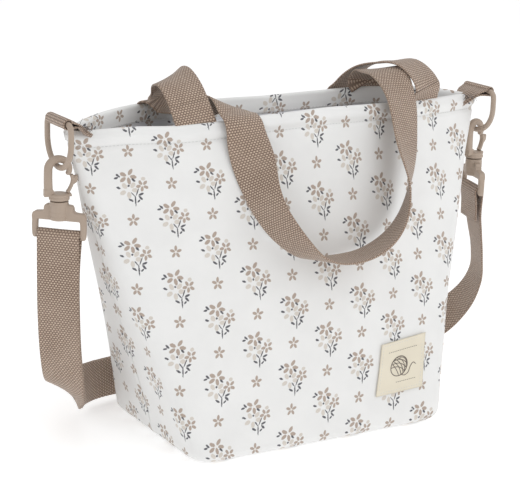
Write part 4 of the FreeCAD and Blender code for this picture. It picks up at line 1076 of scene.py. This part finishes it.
def shoulder_strap():
    rising, falling = left_layer(-0.5), left_layer(0.5)[::-1]
    main = RIGHT_LEG + [station((-40.0, rising[0][1], STRAP_Z), Z_AXIS)] + rising
    main += [station(by_bar(-1, LEFT_NORMAL, -2.8, BAR_Z - 5.0), -LEFT_BAR)]
    main += round_bar(-1, LEFT_NORMAL, -LEFT_BAR)
    main += [station(by_bar(-1, LEFT_NORMAL, 2.8, BAR_Z - 5.0), -LEFT_BAR)] + falling[:9]
    band = round_fold(soften_band(even_band(main, 12, 1.6), 3))
    enrol(band_mesh("shoulder_strap_web", band, cup=0.2), WEBBING, "shoulder_strap",
          rides="strap", slot="webbing")
    # The falling layer carries on to the adjuster as a piece of its own
    outer = [band[-3], band[-1]] + falling[9:]
    outer += [station((x, falling[-1][1], STRAP_Z), Z_AXIS) for x in (-50.0, -18.6)]
    ob = band_mesh("shoulder_strap_outer_layer", soften_band(even_band(outer, 12, 1.6), 2),
                   start=band_length(band), cup=0.2)
    enrol(ob, WEBBING, rides=None, slot="webbing")
    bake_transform(ob)


# Strap end turned round the adjuster's middle bar: x, y from the adjuster
SEWN_END = [(-24.6, LAYER_PITCH), (-20.6, LAYER_PITCH), (-14.0, 2.35), (-10.5, 2.35),
            (-7.5, 2.7), (-4.6, 4.4), (-3.2, 5.8), (0.0, 6.6), (3.0, 6.0), (3.3, 4.4),
            (2.9, 2.95), (0.4, 2.4)]

shoulder_strap()
sewn_end = even_band([(ADJUSTER_X + x, STRAP_Y + y, STRAP_Z, 0, 0, 1) for x, y in SEWN_END],
                     10, 0.8)
enrol(band_mesh("strap_end_web", sewn_end, start=0.3), WEBBING, "strap_sewn_end",
      rides="adjuster", slot="webbing")


# -------------------------------------------------------------------- hardware
def moulded(name, parts, origin=(0, 0, 0), yaw=0.0, voxel=0.3, smoothing=4):
    """Fuses closed shapes into one piece with softened edges, then turns and places it."""
    ob = solid_mesh(name, *join(parts))
    remesh = ob.modifiers.new("skin", "REMESH")
    remesh.mode = "VOXEL"
    remesh.voxel_size = voxel * MM
    remesh.use_smooth_shade = True
    smooth = ob.modifiers.new("soft", "SMOOTH")
    smooth.factor = 0.5
    smooth.iterations = smoothing
    apply_modifiers(ob)
    c, s = math.cos(math.radians(yaw)), math.sin(math.radians(yaw))
    turn = np.array([[c, -s, 0], [s, c, 0], [0, 0, 1]])
    move_vertices(ob.data, lambda points: points.astype(float) @ turn.T + np.array(origin, float))
    smooth_faces(ob.data)
    return ob


RING_HALF_WIDTH, RING_TOP, RING_BOW_Z, RING_CORNER = 19.25, 231.5, 219.5, 4.5


def d_ring(side, name):
    """One bent bar: straight on top, bowed below."""
    reach = RING_HALF_WIDTH - RING_CORNER
    corner_z = RING_TOP - RING_CORNER
    quarter = [math.pi / 2 * k / 6.0 for k in range(7)]
    path = [(RING_Y + reach + RING_CORNER * math.sin(t), corner_z + RING_CORNER * math.cos(t))
            for t in quarter]
    for k in range(31):
        t = math.pi * k / 30.0
        path.append((RING_Y + RING_HALF_WIDTH * math.cos(t),
                     RING_BOW_Z - RING_HALF_WIDTH * abs(math.sin(t)) ** 0.96))
    path += [(RING_Y - reach - RING_CORNER * math.cos(t), corner_z + RING_CORNER * math.sin(t))
             for t in quarter]
    path += [(RING_Y - reach + 2 * reach * k / 12.0, RING_TOP) for k in range(1, 12)]
    path = np.array([(side * RING_X, y, z) for y, z in path + path[:1]])
    distance = travelled(path)
    path = sample(np.linspace(0, distance[-1], 121)[:-1], distance, path)
    for _ in range(3):
        path = 0.25 * np.roll(path, 1, 0) + 0.5 * path + 0.25 * np.roll(path, -1, 0)
    verts = []
    for i in range(len(path)):
        out = unit(np.cross(X_AXIS, unit(path[(i + 1) % len(path)] - path[i - 1])))
        verts += ring(path[i], out, X_AXIS, 2.05, 1.95, 20)
    faces = [[i % len(verts) for i in face]
             for face in grid_faces(len(path) + 1, 20, closed=True)]
    enrol(solid_mesh("%s_d_ring_bar" % name, verts, faces), PLASTIC, "%s_d_ring" % name,
          rides="%s_ring" % name, slot="hardware")


# XZ outline of the foot under the shank and gate
HOOK_FOOT = [(-10.4, -0.2), (-10.3, 4.6), (-4.3, 4.6), (-3.0, 1.9), (8.0, 1.7), (8.3, -0.2)]
# Collar with two ribs: radius, z
HOOK_COLLAR = [(6.3, -2.75), (6.75, -2.55), (6.95, -2.1), (6.95, -0.9), (6.55, -0.55),
               (6.55, 0.1), (6.85, 0.45), (6.8, 1.25), (6.3, 1.7), (5.0, 1.95)]


def hook_body(side, name):
    """Shank, curl, nose, collar and stem."""
    curl_z, curl_radius, curl_half_bar = 17.75, 4.6, 2.75
    path = [(-7.2, 0, 0.4), (-7.35, 0, 6.0), (-7.45, 0, 12.0), (-7.35, 0, curl_z)]
    widths = [3.0, 2.95, 2.9, 2.85]
    for k in range(1, 19):
        angle = math.radians(180 - 205 * k / 18.0)
        radius = curl_radius + curl_half_bar - 0.75 * max(0.0, (k - 6) / 12.0)
        path.append((radius * math.cos(angle), 0, curl_z + radius * math.sin(angle)))
        widths.append(2.85 - 1.05 * (k / 18.0) ** 1.6)
    path = spline(path, 3)
    widths = spread(len(path), widths)
    depths = spread(len(path), [2.6, 2.5, 2.45, 2.0], [0, 0.25, 0.7, 1])
    nose, tip = path[-1], widths[-1]
    parts = [
        sweep(path, widths, depths, 24, 2.6),
        sweep([nose + (0.0, 0, 0.8), nose, nose - (0.1, 0, 0.55), nose - (0.15, 0, 1.0)],
              [tip, tip, tip * 0.8, tip * 0.3], [2.0, 2.0, 1.6, 0.6], 20, 2.4),
        prism(HOOK_FOOT, -2.7, 2.7),
        lathe(HOOK_COLLAR),
        lathe([(2.9, -12.0), (2.9, -2.4)], 24),
    ]
    ob = moulded("%s_hook_body" % name, parts, (side * RING_X, RING_Y, COLLAR_Z), side * HOOK_YAW)
    enrol(ob, PLASTIC, "%s_snap_hook" % name, rides="%s_hook" % name, slot="hardware")


def hook_gate(side, name):
    """Thin bowed tongue with a thumb tab."""
    tongue = spline([(5.3, 0, 2.2), (6.9, 0, 4.6), (8.4, 0, 8.0), (8.9, 0, 11.4),
                     (8.1, 0, 14.3)], 8)
    tab = spline([(9.3, 0, 8.4), (10.7, 0, 9.9), (11.3, 0, 12.2), (11.0, 0, 13.8)], 6)
    parts = [
        sweep(tongue, spread(len(tongue), [1.35, 1.15, 1.15, 1.3], [0, 0.2, 0.6, 1]), 1.9,
              squareness=3.0),
        sweep(tab, [0.9] * 4 + [1.15] * (len(tab) - 4), 1.8, squareness=3.0),
        sweep([(8.7, 0, 11.0), (11.2, 0, 12.2)], 1.2, 1.8, 16, 3.0),
    ]
    ob = moulded("%s_gate_tongue" % name, parts, (side * RING_X, RING_Y, COLLAR_Z),
                 side * HOOK_YAW, voxel=0.25)
    enrol(ob, PLASTIC, "%s_hook_gate" % name, rides="%s_gate" % name, slot="hardware")


# Swivel frame in its own axes: barrel profile (radius, z), then half outlines (x, z)
BARREL_TOP = BARREL_Z - FRAME_Z
BARREL = [(5.6, -5.0), (6.0, -4.8), (6.35, -4.2), (6.35, -2.3), (6.1, -2.0), (6.1, -1.7),
          (6.35, -1.4), (6.35, 0.6), (6.1, 0.9), (6.1, 1.2), (6.35, 1.5),
          (6.35, BARREL_TOP - 1.6), (6.1, BARREL_TOP - 1.3), (6.1, BARREL_TOP - 1.0),
          (6.4, BARREL_TOP - 0.7), (6.3, BARREL_TOP - 0.1), (5.6, BARREL_TOP)]
SHOULDER = [(4.0, 5.6), (8.6, 5.6), (9.6, 5.0), (10.2, 3.6), (10.4, 1.6), (11.4, 0.7),
            (16.6, 0.2), (18.2, -0.8), (18.9, -3.0), (18.8, -5.2), (4.0, -5.2)]
FRAME_ARM = [(16.7, -3.0), (17.1, -8.0), (17.1, -13.5), (16.8, -18.2)]


def swivel_frame(side, name):
    """Ribbed barrel, stepped shoulders and a strap frame with round-ended arms."""
    parts = [lathe(BARREL)]
    for k in (-1, 1):
        parts.append(prism([(k * x, z) for x, z in SHOULDER], -2.3, 2.3))
        arm = spline([(k * x, 0, z) for x, z in FRAME_ARM], 6)
        widths = spread(len(arm), [2.15, 2.05, 1.7, 0.7], [0, 0.8, 0.93, 1])
        parts.append(sweep(arm, widths, widths * 1.12, squareness=2.8))
    parts.append(sweep([(-17.0, 0, -14.6), (17.0, 0, -14.6)], 2.05, 2.05, squareness=2.2))
    ob = moulded("%s_swivel_frame" % name, parts, (side * RING_X, RING_Y, FRAME_Z),
                 FRAME_YAW[side])
    enrol(ob, PLASTIC, "%s_swivel_base" % name, rides="strap", slot="hardware")


# Legs of the side tab: x and z from the ring's top bar, half width, y offset
TAB_LOWER = ((-26, -14.0, 5.0, 0.9), (-21, -11.0, 6.5, 0.6), (-15, -7.2, 9.0, 0.18),
             (-9, -2.8, 13.0, 0))
TAB_UPPER = ((-9, -1.2, 13.0, 0), (-15, -5.5, 9.0, 0.18), (-21, -9.4, 6.5, 0.6),
             (-26, -12.4, 5.0, 0.9))


def side_tab(side, name):
    """Webbing turned round the ring bar, its two ends gathered into the seam corner."""
    turn = []
    for k in range(9):
        angle = math.radians(-115 + 320 * k / 8.0 * 0.86)
        turn.append((3.1 * math.cos(angle), 3.1 * math.sin(angle), 15.0, 0))
    rows = [*TAB_LOWER, *turn, *TAB_UPPER]
    centres = spline([(side * (RING_X + x), RING_Y + y, RING_TOP + z) for x, z, _, y in rows], 6)
    narrow = spread(len(centres), [row[2] for row in rows])[:, None] / 15.0
    ob = band_mesh("%s_tab_web" % name, np.array([station(c, Y_AXIS) for c in centres]),
                   thickness=1.3, start=0.1 * side)

    def gather(points):
        points = points.reshape(len(centres), -1, 3)
        y = points[..., 1] - RING_Y
        points[..., 2] += (1 - narrow) * 2.6 * np.cos(y / 15.0 * math.pi * 1.5)
        points[..., 1] = RING_Y + y * narrow
        return points

    move_vertices(ob.data, gather)
    enrol(ob, WEBBING, "%s_side_tab" % name, slot="webbing")


def tab_fray(side, name):
    """Loose threads where the tab meets the corner."""
    rng = random.Random(30 + side)
    threads = []
    for _ in range(34):
        root = np.array([side * (RING_X - 12.5 - rng.uniform(0, 4)),
                         RING_Y - 12.5 + rng.uniform(-3.0, 9.0), 227.6 + rng.uniform(-1.2, 1.2)])
        ahead = unit((side * -rng.uniform(0.0, 1.0), -rng.uniform(0.1, 1.0),
                      rng.uniform(-1.0, 0.7)))
        length = rng.uniform(1.6, 4.6)
        bend = np.array([rng.uniform(-1, 1) for _ in range(3)])
        path = [root + ahead * length * w + bend * (w * w) * 1.1 for w in np.linspace(0, 1, 6)]
        threads.append(sweep(path, 0.13, 0.13, 5, axis=np.cross(ahead, (0.3, 0.2, 1.0))))
    enrol(solid_mesh("%s_tab_fray" % name, *join(threads)), THREAD_DARK, slot="webbing")


for side, name in ((-1, "left"), (1, "right")):
    for build in (d_ring, hook_body, hook_gate, swivel_frame, side_tab, tab_fray):
        build(side, name)

# Three-bar strap adjuster: two rails, then the bars between them
adjuster = [block(-13, 13, -2.6, 5.2, z0, z1) for z0, z1 in ((15.5, 18.5), (-18.5, -15.5))]
adjuster += [block(x0, x1, 2.75, 5.2, -18.0, 18.0)
             for x0, x1 in ((-13, -10.1), (-1.75, 1.75), (10.1, 13))]
enrol(moulded("strap_adjuster_frame", adjuster, (ADJUSTER_X, STRAP_Y, STRAP_Z), smoothing=6),
      PLASTIC, "strap_adjuster", rides="adjuster", slot="hardware")

# ------------------------------------------------------------------------- zip
ZIP_Y, ZIP_Z = 14.0, 213.0
TAPE_REACH = 9.1  # outer edge of each tape from the zip's centre line
TAPE_HALF_LENGTH = 119
TOOTH_PITCH = 1.2
# Tape section with a raised cord near the teeth: distance from the outer edge, z
TAPE_SECTION = [(0, 0.0), (0.12, 0.28), (0.9, 0.3), (5.9, 0.3), (6.4, 0.62), (7.1, 0.62),
                (7.5, 0.3), (7.6, 0.0), (7.6, -0.25), (0, -0.25)]
# One tooth: distance out from the centre line, z
TOOTH = ((2.0, -0.35), (1.5, 0.1), (0.7, 0.25), (0.1, 0.2), (-0.5, -0.15))


def zip_flap(half, side):
    """Cloth from the wall's inside in to the zip, closing on the seam past the zip's ends."""
    edge = wall_row(212.5, half, depth=5.6)[0]
    x, y, _ = edge[np.abs(edge[:, 0]) < 157].T
    end_y = 4.9
    from_middle = np.abs(x)
    inner_y = np.where(
        from_middle < 128,
        ZIP_Y + half * (4.9 - 4.4 * smoothstep(119, 128, from_middle)),
        end_y + half * 0.25
        + (ZIP_Y - end_y + half * 0.25) * (1 - smoothstep(128, 158, from_middle)))
    rows = []
    for share in np.arange(15) / 14.0:
        ripple = 0.9 * math.sin(math.pi * share) * (np.sin(x / 17.0 + half)
                                                    + 0.5 * np.sin(x / 7.3))
        z = 212.9 + 1.3 * (1 - share) ** 3 + ripple * 0.55
        rows.append(np.c_[x, y + (inner_y - y) * share, z])
    verts = np.concatenate(rows)
    ob = new_mesh("%s_zip_flap_cloth" % side, verts,
                  grid_faces(len(rows), len(x), flip=half == FRONT), verts[:, :2] + (0, 300))
    thicken(ob, 0.8, offset=0)
    enrol(ob, FACING_SHADED, "%s_zip_flap" % side, slot="print_cloth")


def zip_tape(half, side):
    rings = []
    for i in range(119):
        x = -TAPE_HALF_LENGTH + 2.0 * TAPE_HALF_LENGTH * i / 118
        rings.append([(x, ZIP_Y + half * (TAPE_REACH - a), 213.75 + z + 0.12 * math.sin(x / 9.0 + a))
                      for a, z in TAPE_SECTION])
    enrol(solid_mesh("%s_tape_cloth" % side, *tube(rings)), TAPE, "%s_zip_tape" % side,
          slot="zip_tape")
    stitch_y = ZIP_Y + half * (TAPE_REACH - 1.4)
    stitch_run("%s_tape_stitch" % side, [(x, stitch_y, 214.1) for x in np.linspace(-117, 117, 120)],
               [Z_AXIS] * 120, radius=0.2)


def zip_teeth(half, side):
    """Row of teeth; the rear row is half a pitch on, to interlock."""
    shift = TOOTH_PITCH / 2 if half == REAR else 0.0
    teeth = []
    for k in range(197):
        x = -117.6 + TOOTH_PITCH * k + shift
        path = [(x, ZIP_Y + half * y, 214.35 + z) for y, z in TOOTH]
        teeth.append(sweep(path, 0.42, 0.42, 8, 2.2, axis=X_AXIS))
    enrol(solid_mesh("%s_teeth" % side, *join(teeth)), CHAIN, "%s_zip_chain" % side,
          slot="zip_chain")


for half, side in WALLS:
    zip_flap(half, side)
    zip_tape(half, side)
    zip_teeth(half, side)

stops = [sweep([(end * 118.3, ZIP_Y, 214.4), (end * 121.0, ZIP_Y, 214.4)], 2.2, 1.1, 16, 3.5)
         for end in (-1, 1)]
enrol(moulded("zip_stops", stops, voxel=0.25, smoothing=3), METAL, "zip_end_stops",
      slot="zip_metal")

# Slider, placed and shaped about SLIDER_X on the zip's line; outlines are x, z
SLIDER_X = 100.0
PIN_Z = 4.7
SLIDER_PLATE = [(-5.0, 1.75), (-5.3, 2.6), (-4.6, 3.3), (4.4, 3.3), (5.2, 2.8), (5.0, 1.75)]
SLIDER_FLANGE = [(-5.0, 0.2), (-5.0, 3.0), (5.0, 3.0), (5.0, 0.2)]
SLIDER_CHEEK = [(-2.3, 2.4), (-1.5, 5.9), (0.0, 6.3), (1.5, 5.9), (2.3, 2.4)]


def zip_slider():
    parts = [prism(SLIDER_PLATE, -3.4, 3.4), prism(SLIDER_FLANGE, 3.0, 3.9),
             prism(SLIDER_FLANGE, -3.9, -3.0)]
    for k in (-1, 1):
        parts.append(prism(SLIDER_CHEEK, *sorted((k * 2.75, k * 2.75 - k * 0.9))))
    parts.append(sweep([(0, -2.8, PIN_Z), (0, 2.8, PIN_Z)], 0.7, 0.7, 16, axis=X_AXIS))
    ob = moulded("zip_slider_body", parts, (SLIDER_X, ZIP_Y, ZIP_Z), voxel=0.2)
    enrol(ob, METAL, "zip_slider", rides="slider", slot="zip_metal")


def zip_pull():
    """Eye on the pin, neck and flat tab with a raised border."""
    eye = [(1.35 * math.cos(2 * math.pi * k / 16), 0, 1.35 * math.sin(2 * math.pi * k / 16))
           for k in range(17)]
    parts = [sweep(eye[k:k + 2], 0.42, 1.45, 12, 3.5) for k in range(16)]
    parts.append(prism([(1.2, -0.55), (1.2, 0.55), (21.2, 0.5), (21.8, 0.2), (21.8, -0.2),
                        (21.2, -0.5)], -1.6, 1.6))
    parts.append(prism([(5.0, -0.55), (5.0, 0.55), (20.6, 0.5), (20.6, -0.5)], -2.35, 2.35))
    for y in (-1.9, 1.9):
        parts.append(sweep([(5.4, y, 0.35), (20.4, y, 0.35)], 0.45, 0.4, 10))
    for x in (5.4, 20.4):
        parts.append(sweep([(x, -1.9, 0.35), (x, 1.9, 0.35)], 0.45, 0.4, 10, axis=X_AXIS))
    ob = moulded("zip_pull_tab", parts, (SLIDER_X, ZIP_Y, ZIP_Z + PIN_Z), voxel=0.2, smoothing=3)
    enrol(ob, METAL, "zip_pull", rides="pull", slot="zip_metal")


zip_slider()
zip_pull()

# ----------------------------------------------------------------------- label
# Corners on the front wall in cloth coordinates: top left, top right, bottom right, bottom left
LABEL_CORNERS = np.array([(52.0, 63.8), (94.3, 66.6), (87.4, 28.0), (44.4, 26.9)])
LABEL_SIZE = 40  # nominal side, for the lift of its edges


def label_point(a, b, lift):
    """Point and wall normal at shares a across and b up the label, lifted off the wall."""
    top_left, top_right, low_right, low_left = LABEL_CORNERS
    u, v = ((low_left * (1 - a) + low_right * a) * (1 - b)
            + (top_left * (1 - a) + top_right * a) * b)
    row = np.interp(v, ROW_SHARES * CLOTH_HEIGHT, np.arange(len(ROW_SHARES)))
    column = (u / CLOTH_HALF_WIDTH + 1) / 2 * (COLUMNS - 1)
    i, j = int(row), int(column)
    up, across = row - i, column - j

    def blend(table):
        return (table[i, j] * (1 - up) * (1 - across) + table[i + 1, j] * up * (1 - across)
                + table[i, j + 1] * (1 - up) * across + table[i + 1, j + 1] * up * across)

    grid, normals = SURFACE[FRONT][:2]
    normal = unit(blend(normals))
    return blend(grid) + normal * lift, normal


def label_patch():
    """Two sheets joined round the edge, lifted at the edges and most at the top right."""
    n = 33
    sheets = []
    for offset, flip in ((0.3, False), (-0.25, True)):
        verts = []
        for b in np.arange(n) / (n - 1.0):
            for a in np.arange(n) / (n - 1.0):
                edge = min(a, 1 - a, b, 1 - b) * LABEL_SIZE
                corner = math.hypot((1 - a) * LABEL_SIZE, (1 - b) * LABEL_SIZE)
                curl = 0.35 * math.exp(-edge / 1.6) + 0.35 * max(0.0, 1 - corner / 9.0)
                verts.append(label_point(a, b, 0.75 + curl + offset)[0])
        sheets.append((verts, grid_faces(n, n, flip=flip)))
    verts, faces = join(sheets)
    rim = list(range(n)) + [i * n + n - 1 for i in range(1, n)]
    rim += [(n - 1) * n + j for j in range(n - 2, -1, -1)] + [i * n for i in range(n - 2, 0, -1)]
    faces += [(p, q, n * n + q, n * n + p) for p, q in zip(rim, rim[1:] + rim[:1])]
    enrol(solid_mesh("label_cloth_patch", verts, faces), LABEL, "woven_label",
          slot="label_cloth")


def label_path(shares, lift):
    """Points and normals on the label along (a, b) shares."""
    return zip(*(label_point(a, b, lift) for a, b in shares))


def label_stitches():
    near = 0.055
    far, span = 1 - near, 1 - 2 * near
    steps = np.linspace(0, 1, 30)
    border = [(near + span * t, near) for t in steps]
    border += [(far, near + span * t) for t in steps[1:]]
    border += [(far - span * t, far) for t in steps[1:]]
    border += [(near, far - span * t) for t in steps[1:]]
    points, normals = label_path(border, lift=1.0)
    stitch_run("label_border_stitch", list(points), list(normals), pitch=2.3, length=1.75,
               radius=0.2)
    for name, b, start, end in (("upper", 0.80, 0.16, 0.86), ("lower", 0.2, 0.38, 0.86)):
        points, normals = label_path([(a, b) for a in np.linspace(start, end, 30)], lift=1.08)
        stitch_run("label_dash_" + name, list(points), list(normals), THREAD_DARK, pitch=1.7,
                   length=1.15, radius=0.2)


def label_thread(shares, radius=0.26):
    points, normals = label_path(shares, lift=1.12)
    return tube([ring(points[i], normals[i], unit(np.cross(tangent(points, i), normals[i])),
                      radius, radius, 6) for i in range(len(points))])


def yarn_motif():
    """Embroidered ball of yarn with a loose end, in shares of the label."""
    centre_a, centre_b, radius = 0.44, 0.50, 0.185

    def turned(points, degrees):
        c, s = math.cos(math.radians(degrees)), math.sin(math.radians(degrees))
        return [(centre_a + x * c - y * s, centre_b + x * s + y * c) for x, y in points]

    threads = [label_thread([(centre_a + radius * math.cos(t), centre_b + radius * math.sin(t))
                             for t in np.linspace(0, 2 * math.pi, 49)], 0.3)]
    steps = np.linspace(-1, 1, 21)
    for k in range(-2, 3):
        reach = math.sqrt(radius * radius - (k * 0.06) ** 2) * 0.96
        threads.append(label_thread(turned(
            [(k * 0.062 * (1 - 0.25 * t * t) + 0.045 * (1 - t * t), t * reach) for t in steps],
            degrees=35)))
    for k in (-1, 0, 1):
        threads.append(label_thread(turned(
            [(t * radius * 0.9, k * 0.07 + 0.05 * (1 - t * t)) for t in steps], degrees=-20)))
    threads.append(label_thread(spline([(0.50, 0.33), (0.58, 0.30), (0.66, 0.34), (0.70, 0.44),
                                        (0.76, 0.50), (0.82, 0.46)], 8)))
    enrol(solid_mesh("label_yarn_motif", *join(threads)), THREAD_DARK, slot="label_cloth")


label_patch()
label_stitches()
yarn_motif()


# ------------------------------------------ stage, light and camera, in metres
def stage_floor():
    mesh = bpy.data.meshes.new("floor")
    mesh.from_pydata([(-6, -6, 0), (6, -6, 0), (6, 6, 0), (-6, 6, 0)], [], [(0, 1, 2, 3)])
    floor = bpy.data.objects.new("floor", mesh)
    floor.location = (0, 0, -0.0006)
    bpy.context.scene.collection.objects.link(floor)
    mesh.materials.append(Shader("floor_white").finish(
        Base_Color=(0.90, 0.90, 0.90, 1), Roughness=0.9, Specular_IOR_Level=0.1,
        Emission_Color=(1, 1, 1, 1), Emission_Strength=0.36))


def studio_world():
    """White surroundings, brighter to the camera than as a light."""
    light_strength, camera_extra = 0.70, 0.35
    world = bpy.data.worlds.new("studio")
    bpy.context.scene.world = world
    world.use_nodes = True
    tree = world.node_tree
    background = tree.nodes["Background"]
    background.inputs[0].default_value = (1, 1, 1, 1)
    light_path = tree.nodes.new("ShaderNodeLightPath")
    strength = tree.nodes.new("ShaderNodeMath")
    strength.operation = "MULTIPLY_ADD"
    tree.links.new(light_path.outputs["Is Camera Ray"], strength.inputs[0])
    strength.inputs[1].default_value = camera_extra
    strength.inputs[2].default_value = light_strength
    tree.links.new(strength.outputs[0], background.inputs[1])


def area_light(name, location, target, size, watts):
    light = bpy.data.lights.new(name, "AREA")
    light.shape = "RECTANGLE"
    light.size, light.size_y = size
    light.energy = watts
    ob = bpy.data.objects.new(name, light)
    ob.location = location
    aim = Vector(target) - Vector(location)
    ob.rotation_euler = aim.to_track_quat("-Z", "Y").to_euler()
    bpy.context.scene.collection.objects.link(ob)


def place_camera(target, azimuth, elevation, roll, distance):
    """Camera looking at the target; azimuth is measured from -Y, angles in degrees."""
    data = bpy.data.cameras.new("camera")
    data.lens = 115.58
    data.sensor_width = 36.0
    data.clip_start, data.clip_end = 0.05, 30
    camera = bpy.data.objects.new("camera", data)
    bpy.context.scene.collection.objects.link(camera)
    azimuth, elevation, roll = (math.radians(a) for a in (azimuth, elevation, roll))
    back = np.array([math.sin(azimuth) * math.cos(elevation),
                     -math.cos(azimuth) * math.cos(elevation), math.sin(elevation)])
    level = unit(np.cross(-back, Z_AXIS))
    upright = np.cross(level, -back)
    right = level * math.cos(roll) - upright * math.sin(roll)
    up = level * math.sin(roll) + upright * math.cos(roll)
    place = np.column_stack([right, up, back, np.array(target) + back * distance])
    camera.matrix_world = Matrix([*place.tolist(), (0, 0, 0, 1)])
    bpy.context.scene.camera = camera


stage_floor()
studio_world()
area_light("key_soft", (0.55, -1.15, 1.25), target=(0, 0, 0.1), size=(1.7, 1.7), watts=7.2)
area_light("fill_left", (-1.5, -0.3, 0.8), target=(0, 0, 0.12), size=(1.2, 1.2), watts=1.2)
area_light("top_soft", (0.0, 0.35, 1.6), target=(0, 0, 0.1), size=(1.6, 1.2), watts=3.0)
place_camera((-0.0194, 0.0, 0.13479), azimuth=-30.97, elevation=14.86, roll=-1.7,
             distance=1.19394)
bpy.context.scene.view_settings.view_transform = "Standard"
